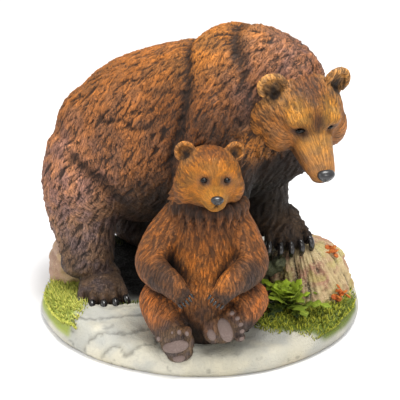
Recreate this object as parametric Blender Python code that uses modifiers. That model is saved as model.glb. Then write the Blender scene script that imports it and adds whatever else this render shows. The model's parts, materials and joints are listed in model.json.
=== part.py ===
"""Cast figurine: a bear standing over her seated cub on a rocky, grassy base, one solid piece.

Metres, +Z up. The origin is the middle of the flat underside, and the figurine's front faces -Y.
Each figure is drawn in its own millimetres as (forward, left, up) from a point on the base's top,
then scaled to its real height.
"""

import math

import bmesh
import bpy
import numpy as np
from mathutils import Matrix, Vector

# Driving sizes, in metres
BASE_WIDTH = 0.214
BASE_DEPTH = 0.184
BASE_THICKNESS = 0.014
RIM_ROUNDING = 0.011
MOTHER_HEIGHT = 0.187
CUB_HEIGHT = 0.123
STUMP_HEIGHT = 0.035
STUMP_WIDTH = 0.050
BACK_ROCK_HEIGHT = 0.036
VOXEL = 0.0011
TRIANGLES = 9700

# The heights that the two figures are drawn at, in their own millimetres
MOTHER_DRAWN = 187.0
CUB_DRAWN = 123.0

# Where each figure stands on the base, and the way it faces, in degrees from +X
MOTHER_PLACE = (-0.0187, 0.0124)
MOTHER_YAW = -32.0
CUB_PLACE = (0.004, -0.056)
CUB_YAW = -90.0

# Sections of a body or limb: forward, left, up, half width, half depth
TORSO = (
    (-84, 0, 76, 9, 12),
    (-77, 0, 80, 24, 29),
    (-65, 0, 86, 36, 43),
    (-45, 0, 93, 46, 54),
    (-15, 0, 101, 48, 60),
    (6, 0, 108, 44, 60),
    (20, 0, 114, 41, 59),
    (33, 1, 122.5, 41, 59.5),
    (50, 4, 127.5, 38, 58.5),
    (64, 8, 129, 36, 54.5),
    (78, 10, 131, 31, 48),
    (89, 8, 134, 25, 41),
)
NEAR_HIND_LEG = (
    (-49, -26, 90, 27, 36),
    (-45, -32, 70, 24, 31),
    (-45, -36, 50, 19, 25),
    (-42, -40, 32, 17, 20),
    (-38, -45, 18, 17, 18),
)
FAR_HIND_LEG = (
    (-48, 26, 90, 26, 35),
    (-47, 32, 66, 23, 29),
    (-52, 33, 44, 20, 24),
    (-55, 33, 26, 18, 20),
    (-51, 33, 12, 17, 18),
)
NEAR_FORELEG = (
    (44, -20, 118, 20, 34),
    (46, -24, 88, 18, 26),
    (47, -25, 62, 16, 19),
    (48, -25, 36, 14, 15),
    (50, -25, 14, 15, 15),
)
FAR_FORELEG = (
    (46, 22, 116, 20, 34),
    (53, 23, 92, 18, 24),
    (56, 24, 74, 15, 17),
    (58, 25, 58, 14, 15),
    (64, 27, 46, 15, 13),
)
CUB_TORSO = (
    (0, -1, 2, 24, 20),
    (2, -1, 18, 25, 23),
    (2, -1, 36, 24, 23),
    (1, -1, 52, 23, 22),
    (-1, -1, 66, 23, 20),
    (-2, -1, 78, 22, 18),
    (0, -1, 92, 21, 18),
)
CUB_RIGHT_ARM = (
    (-2, -16, 78, 11, 11),
    (3, -27, 66, 10.5, 11),
    (10, -33.5, 53, 10, 11.5),
    (21, -29, 50, 9.0, 10),
    (29, -22, 48.5, 8, 8.6),
    (32, -15.5, 43, 7, 7.4),
    (33, -12.5, 38, 5.5, 6),
)
CUB_LEFT_ARM = (
    (-2, 15, 77, 11, 11),
    (3, 22.5, 65, 10.5, 11),
    (10, 28, 52.5, 9.8, 11.5),
    (21, 22.5, 50, 9.0, 10),
    (29, 15, 48.5, 8, 8.6),
    (32, 8.5, 42.5, 7, 7.4),
    (33, 5.5, 37.5, 5.5, 6),
)
CUB_RIGHT_LEG = (
    (2, -18, 16, 15, 15),
    (13, -28.5, 28, 13, 13),
    (23, -26, 20, 10.5, 11),
    (27, -20, 12, 9.5, 10),
)
CUB_LEFT_LEG = (
    (2, 17, 16, 15, 15),
    (12, 26, 28, 12.5, 12.5),
    (18, 22, 20, 9.5, 10),
    (20, 16, 16, 8.5, 9),
)

# Carved fur: the spacing of the locks, their length, width and height, in a figure's millimetres
MOTHER_LOCKS = (12.0, 18.0, 8.0, 2.0)
CUB_LOCKS = (8.5, 11.0, 5.0, 0.9)
SEED = 7

BARK_RIDGES = 15
LEDGE_STEPS = 4
FERN_LEAVES = 11
# Patches of grass: middle, reach along X and Y, and the number of blades
GRASS_PATCHES = (
    ((-0.086, -0.012), (0.015, 0.030), 34),
    ((0.072, -0.046), (0.022, 0.014), 22),
    ((0.080, 0.042), (0.014, 0.022), 16),
    ((-0.020, 0.072), (0.045, 0.010), 20),
)


def clear_scene():
    """Removes every object of the open scene."""
    for obj in list(bpy.data.objects):
        bpy.data.objects.remove(obj, do_unlink=True)


def collection_named(name):
    """A collection linked to the scene."""
    made = bpy.data.collections.new(name)
    bpy.context.scene.collection.children.link(made)
    return made


def finish_material(name, colour, roughness):
    """A painted finish: a Principled BSDF with plain values."""
    material = bpy.data.materials.new(name)
    material.use_nodes = True
    shader = material.node_tree.nodes["Principled BSDF"]
    shader.inputs["Base Color"].default_value = (*colour, 1.0)
    shader.inputs["Roughness"].default_value = roughness
    shader.inputs["Metallic"].default_value = 0.0
    return material


def turned(origin, yaw=0.0, pitch=0.0, roll=0.0):
    """A frame at origin, turned by yaw about up, then nose down by pitch, then by roll, in degrees."""
    turn = Matrix.Rotation(math.radians(yaw), 4, "Z") @ Matrix.Rotation(math.radians(pitch), 4, "Y")
    return Matrix.Translation(Vector(origin)) @ turn @ Matrix.Rotation(math.radians(roll), 4, "X")


def figure_frame(place, yaw, height, drawn):
    """From a figure's own millimetres, measured on the base's top, to metres."""
    size = height / drawn
    return turned((*place, BASE_THICKNESS), yaw) @ Matrix.Scale(size, 4)


def smooth_rows(sections, between=5):
    """Catmull-Rom rows through the sections, with `between` steps from each to the next."""
    rows = np.array(sections, float)
    ends = np.vstack([2 * rows[0] - rows[1], rows, 2 * rows[-1] - rows[-2]])
    made = []
    for i in range(1, len(ends) - 2):
        before, start, stop, after = ends[i - 1 : i + 3]
        for t in np.arange(between) / between:
            made.append(
                0.5
                * (
                    2 * start
                    + (stop - before) * t
                    + (2 * before - 5 * start + 4 * stop - after) * t * t
                    + (3 * start - before - 3 * stop + after) * t**3
                )
            )
    return np.array([*made, rows[-1]])


def ring(mesh, centre, along, side, half_width, half_depth, frame, count):
    """A closed ring of vertices, an ellipse across the way `along`."""
    depth = along.cross(side).normalized()
    wide = depth.cross(along).normalized()
    made = []
    for k in range(count):
        turn = 2 * math.pi * k / count
        point = centre + wide * (half_width * math.cos(turn)) + depth * (half_depth * math.sin(turn))
        made.append(mesh.verts.new(frame @ point))
    return made


def loft(mesh, sections, frame, side=(0, 1, 0), across=None, count=28, dome=0.55):
    """A closed body carried through unlike elliptical sections, with round ends.

    The half widths lie along `side`. The sections stand square to the way the body runs, or to
    `across` where that is given.
    """
    rows = smooth_rows(sections)
    middles = [Vector(row[:3]) for row in rows]
    side = Vector(side)
    ways = []
    for i in range(len(rows)):
        way = middles[min(i + 1, len(rows) - 1)] - middles[max(i - 1, 0)]
        ways.append(Vector(across) if across else way.normalized())

    def end_rings(at, outward):
        """The rings of a round end, from the wide one to the narrow one."""
        width, depth = rows[at][3], rows[at][4]
        for step in (0.35, 0.65, 0.88):
            slide = ways[at] * (outward * dome * min(width, depth) * math.sin(step * math.pi / 2))
            shrink = math.cos(step * math.pi / 2)
            yield ring(mesh, middles[at] + slide, ways[at], side, width * shrink, depth * shrink, frame, count)

    rings = list(reversed(list(end_rings(0, -1))))
    for middle, way, row in zip(middles, ways, rows):
        rings.append(ring(mesh, middle, way, side, row[3], row[4], frame, count))
    rings.extend(end_rings(-1, 1))
    for low, high in zip(rings, rings[1:]):
        for k in range(count):
            after = (k + 1) % count
            mesh.faces.new((low[k], low[after], high[after], high[k]))
    mesh.faces.new(list(reversed(rings[0])))
    mesh.faces.new(rings[-1])


def ball(mesh, frame, centre, radii, yaw=0.0, pitch=0.0, roll=0.0, segments=20):
    """An ellipsoid in a figure's frame, turned about its own middle."""
    place = frame @ turned(centre, yaw, pitch, roll) @ Matrix.Diagonal((*radii, 1))
    bmesh.ops.create_uvsphere(mesh, u_segments=segments, v_segments=segments // 2, radius=1, matrix=place)


def object_of(mesh, name, collection):
    """Turns a bmesh into an object whose faces point outwards."""
    bmesh.ops.recalc_face_normals(mesh, faces=mesh.faces)
    data = bpy.data.meshes.new(name)
    mesh.to_mesh(data)
    mesh.free()
    obj = bpy.data.objects.new(name, data)
    collection.objects.link(obj)
    return obj


def joined(objects, name, collection):
    """One object with the bodies of all the given ones, which are taken away."""
    mesh = bmesh.new()
    for obj in objects:
        mesh.from_mesh(obj.data)
        bpy.data.objects.remove(obj)
    return object_of(mesh, name, collection)


def fused(obj, voxel, smoothing):
    """Welds the overlapping bodies of an object into one skin, and eases the creases between them."""
    remesh = obj.modifiers.new("Fuse", "REMESH")
    remesh.mode = "VOXEL"
    remesh.voxel_size = voxel
    if smoothing:
        ease = obj.modifiers.new("Ease creases", "SMOOTH")
        ease.factor = 0.5
        ease.iterations = smoothing
    bpy.context.view_layer.update()
    graph = bpy.context.evaluated_depsgraph_get()
    skin = bpy.data.meshes.new_from_object(obj.evaluated_get(graph))
    obj.modifiers.clear()
    obj.data = skin
    return obj


def fur_locks(skin, frame, drawn, flow, bare, name, collection):
    """Carved locks spread evenly over a skin, each lying along the way that the fur flows.

    `flow` gives the fur's way at a place in the figure's own millimetres, and `bare` tells where
    there is no fur.
    """
    spacing, length, width, height = drawn
    size = frame.to_scale()[0]
    data = skin.data
    count = len(data.vertices)
    places = np.empty(count * 3)
    data.vertices.foreach_get("co", places)
    places = places.reshape(-1, 3)
    order = np.random.default_rng(SEED).permutation(count)
    back = frame.inverted()
    turn = frame.to_3x3().normalized()
    cells = {}
    mesh = bmesh.new()
    for index in order:
        spot = Vector(places[index])
        cell = tuple(int(math.floor(c / (spacing * size))) for c in spot)
        near = [
            cells.get((cell[0] + i, cell[1] + j, cell[2] + k))
            for i in (-1, 0, 1)
            for j in (-1, 0, 1)
            for k in (-1, 0, 1)
        ]
        if any(other is not None and (other - spot).length < spacing * size for other in near):
            continue
        cells[cell] = spot
        own = back @ spot
        if bare(own):
            continue
        out = data.vertices[int(index)].normal.copy()
        way = turn @ Vector(flow(own))
        way = (way - out * way.dot(out)).normalized()
        across = out.cross(way)
        lie = Matrix((way, across, out)).transposed().to_4x4()
        lie = Matrix.Translation(spot) @ lie @ Matrix.Scale(size, 4)
        sections = (
            (-0.50 * length, 0, -0.9 * height, 0.24 * width, 0.6 * height),
            (-0.15 * length, 0, -0.3 * height, 0.50 * width, 1.1 * height),
            (0.20 * length, 0, 0.1 * height, 0.42 * width, 1.0 * height),
            (0.50 * length, 0, 0.1 * height, 0.14 * width, 0.5 * height),
        )
        loft(mesh, sections, lie, count=8, dome=0.3)
    return object_of(mesh, name, collection)


def paw(mesh, frame, centre, yaw, pitch, length, width):
    """A bear's foot: an instep, five toes in an arc and a claw on each, pointing forward in its frame."""
    foot = frame @ turned(centre, yaw, pitch)
    ball(mesh, foot, (0, 0, 0), (length * 0.5, width * 0.47, width * 0.34))
    ball(mesh, foot, (-length * 0.28, 0, width * 0.05), (length * 0.34, width * 0.42, width * 0.38))
    for k in range(5):
        spread = (k - 2) / 2
        ahead = length * (0.46 - 0.11 * spread * spread)
        across = width * 0.42 * spread
        toe = foot @ turned((ahead, across, -width * 0.08), 14 * spread, 8)
        ball(mesh, toe, (0, 0, 0), (width * 0.17, width * 0.115, width * 0.16), segments=12)
        claw = (
            (width * 0.05, 0, width * 0.06, width * 0.055, width * 0.05),
            (width * 0.14, 0, width * 0.055, width * 0.056, width * 0.052),
            (width * 0.20, 0, -width * 0.01, width * 0.048, width * 0.045),
            (width * 0.225, 0, -width * 0.12, width * 0.030, width * 0.030),
        )
        loft(mesh, claw, toe, count=8)


def sole(mesh, frame, centre, yaw, pitch, spin, length, width):
    """An upturned foot: its sole faces forward in its frame and its toes point up, turned by spin."""
    foot = frame @ turned(centre, yaw, pitch, spin)
    ball(mesh, foot, (-width * 0.1, 0, 0), (width * 0.40, width * 0.46, length * 0.42))
    ball(mesh, foot, (-width * 0.1, 0, -length * 0.30), (width * 0.34, width * 0.36, length * 0.22))
    ball(mesh, foot, (width * 0.2, 0, -length * 0.02), (width * 0.16, width * 0.33, length * 0.20))
    for k in range(5):
        spread = (k - 2) / 2
        up = length * (0.40 - 0.10 * spread * spread)
        toe = (width * 0.1, width * 0.38 * spread, up)
        ball(mesh, foot, toe, (width * 0.17, width * 0.11, width * 0.14), segments=12)


def ear(mesh, frame, centre, yaw, roll, radius):
    """A round ear: a thick disc with its hollow turned forward, made of a rim around a thin back."""
    place = frame @ turned(centre, yaw, -8, roll)
    rim = [
        (0.0, radius * 0.80 * math.cos(turn), radius * 0.80 * math.sin(turn), radius * 0.26, radius * 0.24)
        for turn in np.radians(np.linspace(-40, 220, 9))
    ]
    loft(mesh, rim, place, side=(1, 0, 0), count=12)
    ball(mesh, place, (-radius * 0.16, 0, -radius * 0.05), (radius * 0.22, radius * 0.86, radius * 0.86))
    ball(mesh, place, (-radius * 0.2, 0, -radius * 0.85), (radius * 0.5, radius * 0.8, radius * 0.6))


def mother_head(frame, collection):
    """Skull, brow, cheeks with their ruff, long muzzle, jaw, ears, eyes and nose."""
    head = frame @ turned((95.5, -2.3, 138), -42, 24)
    masses = bmesh.new()
    ball(masses, head, (-3, 0, 2), (26, 25, 21.5))
    ball(masses, head, (9, 0, 7), (15, 16, 14))
    for hand in (-1, 1):
        ball(masses, head, (12, 10 * hand, 9), (9, 8, 8))
        ball(masses, head, (4, 15 * hand - 1, -5), (15, 12, 14))
        ball(masses, head, (-4, 18.8 * hand - 2.2, -8), (11, 11, 19))
    muzzle = (
        (12, 0, 0, 14.5, 13.5),
        (20, 0, -2, 12.0, 11.5),
        (29, 0, -4.2, 10.0, 10.0),
        (37, 0, -6.4, 8.6, 8.8),
        (42.5, 0, -8.0, 7.4, 7.6),
    )
    loft(masses, muzzle, head)
    loft(masses, ((12, 0, -11, 11, 8), (25, 0, -12.5, 8.5, 6), (35, 0, -13, 6.5, 4.5)), head)
    skin = fused(object_of(masses, "bear_skull", collection), VOXEL, 8)
    details = bmesh.new()
    for hand in (-1, 1):
        for k in range(5):
            turn = math.radians(-60 + 30 * k)
            tip = (-3 - 3 * k, (17 + 11 * math.cos(turn)) * hand - 2.2, -8 + 19 * math.sin(turn))
            ball(details, head, tip, (8, 4.5, 6), yaw=20 * hand)
        ear(details, head, (-6, 20.0 * hand, 18.8), 14 * hand, -16 * hand, 9.2)
        ball(details, head, (19.6, 9.2 * hand, 7.5), (2.2, 2.7, 2.0), segments=12)
    ball(details, head, (46, 0, -4.6), (3.8, 5.2, 3.8))
    return [skin, object_of(details, "bear_face", collection)]


def mother(collection):
    """The standing bear, fused into one skin."""
    frame = figure_frame(MOTHER_PLACE, MOTHER_YAW, MOTHER_HEIGHT, MOTHER_DRAWN)
    body = bmesh.new()
    loft(body, TORSO, frame, across=(1, 0, 0))
    for leg in (NEAR_HIND_LEG, FAR_HIND_LEG, NEAR_FORELEG, FAR_FORELEG):
        loft(body, leg, frame)
    for hand in (-1, 1):
        ball(body, frame, (-44, 20 * hand, 88), (30, 27, 40))
        ball(body, frame, (48, 17 * hand, 118), (20, 29, 44), pitch=-8)
    skin = fused(object_of(body, "bear_body", collection), VOXEL, 18)

    def flow(place):
        """Back and down along the body, straight down on the legs."""
        return (-1.0, 0.0, -0.8) if place.z > 75 else (-0.2, 0.0, -1.0)

    def bare(place):
        """No locks on the feet or inside the head."""
        return place.z < 16 or place.x > 78

    locks = fur_locks(skin, frame, MOTHER_LOCKS, flow, bare, "bear_locks", collection)
    parts = bmesh.new()
    paw(parts, frame, (-23, -50, 8), -50, 6, 31, 33)
    paw(parts, frame, (-41, 33, 8), 8, 4, 34, 34)
    ball(parts, frame, (-79, 5, 88), (7, 6, 12), pitch=-24)
    paw(parts, frame, (58, -25, 7), -6, 4, 30, 34)
    paw(parts, frame, (71, 25, 45), -42, 24, 25, 31)
    paws = object_of(parts, "bear_paws", collection)
    return [skin, locks, paws, *mother_head(frame, collection)]


def cub_head(frame, collection):
    """The cub's round head with its short muzzle, turned a little to its left."""
    head = frame @ turned((5, 1.2, 106.5), 11, 2, -5)
    masses = bmesh.new()
    ball(masses, head, (0, 0, 0), (20, 19.5, 19))
    ball(masses, head, (8, 0, 3), (11, 14, 10))
    for hand in (-1, 1):
        ball(masses, head, (2, 13 * hand, -5), (12, 8.5, 10))
        ball(masses, head, (-4, 12 * hand, -13), (11, 9, 9))
    loft(masses, ((8, 0, -3, 11, 10), (17, 0, -4.5, 8.5, 8), (22.5, 0, -5.5, 6.8, 6.8)), head)
    skin = fused(object_of(masses, "cub_skull", collection), VOXEL, 5)
    details = bmesh.new()
    for hand in (-1, 1):
        ear(details, head, (-4, 15.0 * hand, 14.4), 8 * hand, -20 * hand, 6.3)
        ball(details, head, (16.6, 6.7 * hand, 5.6), (1.7, 2.1, 1.6), segments=12)
    ball(details, head, (25.8, 0, -2.9), (2.9, 3.7, 2.7))
    return [skin, object_of(details, "cub_face", collection)]


def cub(collection):
    """The seated cub, its soles turned to the front."""
    frame = figure_frame(CUB_PLACE, CUB_YAW, CUB_HEIGHT, CUB_DRAWN)
    body = bmesh.new()
    loft(body, CUB_TORSO, frame, across=(0, 0, 1))
    for limb in (CUB_RIGHT_ARM, CUB_LEFT_ARM, CUB_RIGHT_LEG, CUB_LEFT_LEG):
        loft(body, limb, frame)
    skin = fused(object_of(body, "cub_body", collection), VOXEL, 4)

    def flow(place):
        """Down, and outwards over the belly."""
        return (0.2, place.y * 0.01, -1.0)

    def bare(place):
        """No locks on the seat or under the head."""
        return place.z < 8 or place.z > 92

    locks = fur_locks(skin, frame, CUB_LOCKS, flow, bare, "cub_locks", collection)
    parts = bmesh.new()
    sole(parts, frame, (30.5, -18, 7.5), -6, -8, 14, 24, 23)
    sole(parts, frame, (26, 10, 16), 8, -12, -72, 25, 23)
    feet = object_of(parts, "cub_feet", collection)
    return [skin, locks, feet, *cub_head(frame, collection)]


def slab(mesh, frame, centre, half_length, half_width, thickness, yaw, seed):
    """A flat slab of bedded rock with a broken outline."""
    chance = np.random.default_rng(seed)
    count = 9
    place = frame @ turned(centre, yaw, chance.uniform(-4, 4), chance.uniform(-4, 4))
    outline = []
    for k in range(count):
        turn = 2 * math.pi * (k + chance.uniform(-0.25, 0.25)) / count
        reach = chance.uniform(0.82, 1.0)
        outline.append((half_length * reach * math.cos(turn), half_width * reach * math.sin(turn)))
    rows = []
    for height, spread in ((-thickness, 1.02), (thickness * 0.7, 1.0), (thickness, 0.9)):
        rows.append([mesh.verts.new(place @ Vector((x * spread, y * spread, height))) for x, y in outline])
    for low, high in zip(rows, rows[1:]):
        for k in range(count):
            after = (k + 1) % count
            mesh.faces.new((low[k], low[after], high[after], high[k]))
    mesh.faces.new(list(reversed(rows[0])))
    mesh.faces.new(rows[-1])


def stump(mesh):
    """The stump under the raised paw, its bark in upright ridges."""
    middle = Vector((0.0755, -0.003, 0.0))
    lean = Vector((-0.006, 0.002, 0.0))
    whole = Matrix.Identity(4)
    bottom, top = 0.008, BASE_THICKNESS + STUMP_HEIGHT
    body = []
    for share, spread in ((0.0, 0.56), (0.5, 0.50), (0.8, 0.42), (0.97, 0.29)):
        at = middle + lean * share
        reach = STUMP_WIDTH * spread
        body.append((at.x, at.y, bottom + (top - bottom) * share, reach, reach))
    loft(mesh, body, whole, side=(1, 0, 0), across=(0, 0, 1), dome=0.12)
    for k in range(BARK_RIDGES):
        turn = 2 * math.pi * k / BARK_RIDGES
        ridge = []
        for share, spread in ((0.02, 0.56), (0.5, 0.50), (0.78, 0.43), (0.93, 0.33)):
            at = middle + lean * share
            out = STUMP_WIDTH * (spread + 0.01 * (k % 3))
            x = at.x + out * math.cos(turn + 0.12 * math.sin(5 * share + k))
            y = at.y + out * math.sin(turn + 0.12 * math.sin(5 * share + k))
            ridge.append((x, y, bottom + (top - bottom) * share, 0.0025, 0.0022))
        loft(mesh, ridge, whole, side=(1, 0, 0), across=(0, 0, 1), count=8)


def blade(mesh, root, yaw, lean, length, width):
    """One leaf or blade of grass, rising from its root and bending outwards."""
    place = turned(root, yaw)
    sections = []
    for share, thick in ((0.0, 0.55), (0.4, 1.0), (0.75, 0.7), (1.0, 0.18)):
        out = length * share * math.sin(lean * (0.6 + 0.4 * share))
        up = length * share * math.cos(lean * (0.6 + 0.4 * share))
        sections.append((out, 0, up, width * thick, width * 0.45 * thick))
    loft(mesh, sections, place, count=8)


def greenery(mesh):
    """The leafy plant beside the stump and the tufts of grass on both sides of the base."""
    chance = np.random.default_rng(SEED)
    ground = BASE_THICKNESS - 0.002
    for k in range(FERN_LEAVES):
        turn = 360 * k / FERN_LEAVES + chance.uniform(-12, 12)
        tall = chance.uniform(0.016, 0.024)
        spot = (0.056 + chance.uniform(-0.004, 0.004), -0.033 + chance.uniform(-0.004, 0.004), ground)
        blade(mesh, spot, turn, chance.uniform(0.35, 1.0), tall, 0.0030)
    for middle, reach, count in GRASS_PATCHES:
        for _ in range(count):
            turn = chance.uniform(0, 2 * math.pi)
            share = math.sqrt(chance.uniform(0, 1))
            x = middle[0] + reach[0] * share * math.cos(turn)
            y = middle[1] + reach[1] * share * math.sin(turn)
            spot = (x, y, ground)
            blade(mesh, spot, chance.uniform(0, 360), chance.uniform(0.2, 0.7), 0.0075, 0.0016)


def base(collection):
    """The oval base with its rounded rim, bedded rocks, stump and greenery."""
    mesh = bmesh.new()
    half = (BASE_WIDTH / 2, BASE_DEPTH / 2)
    below = 0.004
    shoulder = RIM_ROUNDING * 0.4
    outline = (
        (0, 0, -below, half[0] - 0.003, half[1] - 0.003),
        (0, 0, BASE_THICKNESS * 0.35, half[0], half[1]),
        (0, 0, BASE_THICKNESS - shoulder, half[0] - shoulder, half[1] - shoulder),
        (0, 0, BASE_THICKNESS, half[0] - RIM_ROUNDING, half[1] - RIM_ROUNDING),
    )
    whole = Matrix.Identity(4)
    loft(mesh, outline, whole, side=(1, 0, 0), count=72, dome=0.0)
    top = Matrix.Translation((0, 0, BASE_THICKNESS))
    for k in range(4):
        height = BACK_ROCK_HEIGHT * (0.12 + 0.25 * k)
        reach = 0.021 - 0.003 * k
        slab(mesh, top, (-0.086 + 0.002 * k, 0.022, height), reach, reach * 1.35, 0.0052, 20 * k, k)
    for k in range(LEDGE_STEPS):
        middle = (-0.050 + 0.008 * k, -0.052 + 0.004 * k, -0.001 + 0.0022 * k)
        slab(mesh, top, middle, 0.031 - 0.005 * k, 0.019 - 0.003 * k, 0.003, 8 * k, LEDGE_STEPS + k)
    stump(mesh)
    greenery(mesh)
    return [object_of(mesh, "ground", collection)]


def one_body(obj):
    """Keeps the largest shell of an object, so that no loose crumb or closed pocket is left."""
    mesh = bmesh.new()
    mesh.from_mesh(obj.data)
    waiting = set(mesh.verts)
    shells = []
    while waiting:
        edge = [waiting.pop()]
        shell = set(edge)
        while edge:
            beside = {link.other_vert(vert) for vert in edge for link in vert.link_edges}
            edge = list(beside & waiting)
            waiting.difference_update(edge)
            shell.update(edge)
        shells.append(shell)
    largest = max(shells, key=len)
    loose = [vert for vert in mesh.verts if vert not in largest]
    bmesh.ops.delete(mesh, geom=loose, context="VERTS")
    mesh.to_mesh(obj.data)
    mesh.free()


def flat_underside(obj):
    """Cuts the object off square at the height of the base's underside and closes the cut."""
    mesh = bmesh.new()
    mesh.from_mesh(obj.data)
    everything = [*mesh.verts, *mesh.edges, *mesh.faces]
    bmesh.ops.bisect_plane(mesh, geom=everything, plane_co=(0, 0, 0), plane_no=(0, 0, 1), clear_inner=True)
    bmesh.ops.holes_fill(mesh, edges=[edge for edge in mesh.edges if edge.is_boundary])
    bmesh.ops.triangulate(mesh, faces=mesh.faces)
    mesh.to_mesh(obj.data)
    mesh.free()


def main():
    """Builds the figurine as one solid."""
    clear_scene()
    model = collection_named("Bear figurine")
    figurine = joined([*base(model), *mother(model), *cub(model)], "bear_figurine", model)
    fused(figurine, VOXEL, 2)
    one_body(figurine)
    flat_underside(figurine)
    figurine.data.materials.append(finish_material("painted resin", (0.30, 0.14, 0.06), 0.55))
    reduce = figurine.modifiers.new("Facets", "DECIMATE")
    reduce.ratio = min(1.0, TRIANGLES / len(figurine.data.polygons))
    reduce.use_collapse_triangulate = True


main()
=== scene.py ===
"""Looks of the bear figurine: a painted cast of a bear standing over her seated cub on a rocky, grassy base.

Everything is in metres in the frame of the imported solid: +Z up, the front faces -Y. Each figure is
drawn in its own millimetres as (forward, left, up) from a point on the base's top, and a Place
carries those to the frame. Bodies are surfaces worked out with numpy, fused into one skin, carved
with locks of fur and painted through attributes.
"""

import json
import logging
import math
from collections.abc import Callable, Sequence
from dataclasses import dataclass, field
from enum import Enum
from typing import Any

import bmesh
import bpy
import numpy as np
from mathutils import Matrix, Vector

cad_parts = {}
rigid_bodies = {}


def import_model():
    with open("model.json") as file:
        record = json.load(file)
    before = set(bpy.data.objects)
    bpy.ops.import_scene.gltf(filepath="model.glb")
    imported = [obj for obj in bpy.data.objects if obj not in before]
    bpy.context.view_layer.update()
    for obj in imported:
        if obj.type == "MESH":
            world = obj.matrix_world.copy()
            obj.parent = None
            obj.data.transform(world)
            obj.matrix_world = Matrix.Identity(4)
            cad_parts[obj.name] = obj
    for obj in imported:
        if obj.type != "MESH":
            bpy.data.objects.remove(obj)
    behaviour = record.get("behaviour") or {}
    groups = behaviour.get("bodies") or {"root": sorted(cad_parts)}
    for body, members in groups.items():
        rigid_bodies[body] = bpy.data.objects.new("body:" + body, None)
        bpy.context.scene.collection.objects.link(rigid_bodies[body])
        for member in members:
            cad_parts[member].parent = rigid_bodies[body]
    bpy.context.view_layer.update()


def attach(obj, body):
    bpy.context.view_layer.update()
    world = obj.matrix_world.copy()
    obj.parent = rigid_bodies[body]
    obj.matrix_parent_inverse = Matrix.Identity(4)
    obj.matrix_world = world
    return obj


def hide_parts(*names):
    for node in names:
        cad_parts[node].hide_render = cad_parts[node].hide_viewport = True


LOG = logging.getLogger("bear_figurine")

NODE = "bear_figurine"
BODY = "root"

Array = np.ndarray
Triple = tuple[float, float, float]
Section = tuple[float, float, float, float, float]

NO_CORNER = -1
SIDES = (-1, 1)
TINY = 1e-9

# The base and the two figures, in metres and degrees, as the solid has them
BASE_WIDTH = 0.214
BASE_DEPTH = 0.184
BASE_THICKNESS = 0.014
RIM_ROUNDING = 0.011
MOTHER_HEIGHT = 0.187
MOTHER_DRAWN = 187.0
MOTHER_SPOT = (-0.0187, 0.0124)
MOTHER_YAW = -32.0
CUB_HEIGHT = 0.123
CUB_DRAWN = 123.0
CUB_SPOT = (0.004, -0.056)
CUB_YAW = -90.0
STUMP_SPOT = (0.0755, -0.003)
STUMP_HEIGHT = 0.035
STUMP_WIDTH = 0.050
BACK_ROCK_SPOT = (-0.086, 0.022)
BACK_ROCK_HEIGHT = 0.036
PLANT_SPOT = (0.056, -0.033)

# The share of the base's thickness from which its rim is rounded
RIM_FOOT = 0.30

# The angles at which a tube's end closes, from its pole to its side
DOME_ANGLES = np.radians([79, 58, 31])

# Smoothing steps for a skin whose tufts and toes stay crisp
CRISP = 3

# The middle of an eye, forward, left and up in its head's millimetres
BEAR_EYE = (20.5, 9.2, 7.6)
CUB_EYE = (17.5, 6.6, 5.5)

# Screen colours of the base's paints and of the cub's soles
PALE_ROCK = (212, 207, 189)
GREY_ROCK = (184, 184, 176)
WARM_ROCK = (200, 190, 160)
# A painted shadow on the ground under the bear
PAINTED_SHADOW = (9, 8, 6)
CREAM_BARK = (190, 168, 126)
ROSE_BARK = (166, 122, 100)
LIME_BARK = (176, 170, 96)
DARK_MOSS = (62, 62, 48)
DULL_MOSS = (86, 88, 66)
TAN_BED = (190, 160, 122)
PINK_BED = (170, 136, 116)
LEAF_ROOT = (24, 42, 18)
LEAF_TIP = (176, 204, 58)
RUST_LICHEN = (176, 84, 38)
SOLE_SKIN = (118, 101, 94)

# A touch covers fully where its nearness passes one over this
TOUCH_GAIN = 1.6

# Linear light: the wash in cuts, painted shade with the wash in creases, the wash in rough hollows, and the tints of
# mottled and brushed fur
WASH_INK = np.array([0.016, 0.010, 0.007])
CREASE_SHADE_AND_WASH = np.array([0.008, 0.006, 0.005])
HOLLOW_INK = np.array([0.02, 0.02, 0.018])
GOLD_TINT = np.array([1.40, 1.14, 0.62])
MAUVE_TINT = np.array([0.72, 0.74, 0.92])
BRUSH_TINT = np.array([2.5, 2.4, 2.1])

# How far a raised hair and a raised speck stand out, in metres
HAIR_BUMP = 0.0007
SPECK_BUMP = 0.0004


def linear(colour: Triple) -> Array:
    """A paint's screen colour, 0 to 255, as linear light: the screen's curve undone channel by channel.

    Args:
        colour: red, green and blue as a screen shows them.

    Returns:
        The three channels in linear light, 0 to 1.
    """
    share = np.asarray(colour, float) / 255
    return np.where(share <= 0.04045, share / 12.92, ((share + 0.055) / 1.055) ** 2.4)


def blended(below: Array, above: Array, share: Array) -> Array:
    """One paint laid over another: below * (1 - share) + above * share, point by point.

    Args:
        below: linear colours, shape (3,) or (n, 3).
        above: linear colours, shape (3,) or (n, 3).
        share: how much of the upper paint each point gets, shape (n,).

    Returns:
        Linear colours, shape (n, 3).
    """
    cover = share[:, None]
    return below * (1 - cover) + above * cover


def ease(value: Array, low: float, high: float) -> Array:
    """A smooth step: 0 below low, 1 above high, and 3t^2 - 2t^3 of the share t between them."""
    share = np.clip((value - low) / (high - low), 0, 1)
    return share * share * (3 - 2 * share)


def chance_of(cells: Array, salt: int, numbers: int) -> Array:
    """Fixed random numbers for whole-numbered cells, taken from one shuffled table.

    The three numbers of a cell are multiplied by large odd factors, mixed by exclusive or, and the
    remainder picks a row of the table.

    Args:
        cells: whole numbers, shape (..., 3).
        salt: a number that tells one use from another.
        numbers: how many random numbers each cell gets.

    Returns:
        Values from 0 to 1, shape (..., numbers).
    """
    table = np.random.default_rng(salt).random((4099, numbers))
    mixed = (cells[..., 0] * 73856093) ^ (cells[..., 1] * 19349663) ^ (cells[..., 2] * 83492791)
    return table[np.mod(mixed, len(table))]


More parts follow.
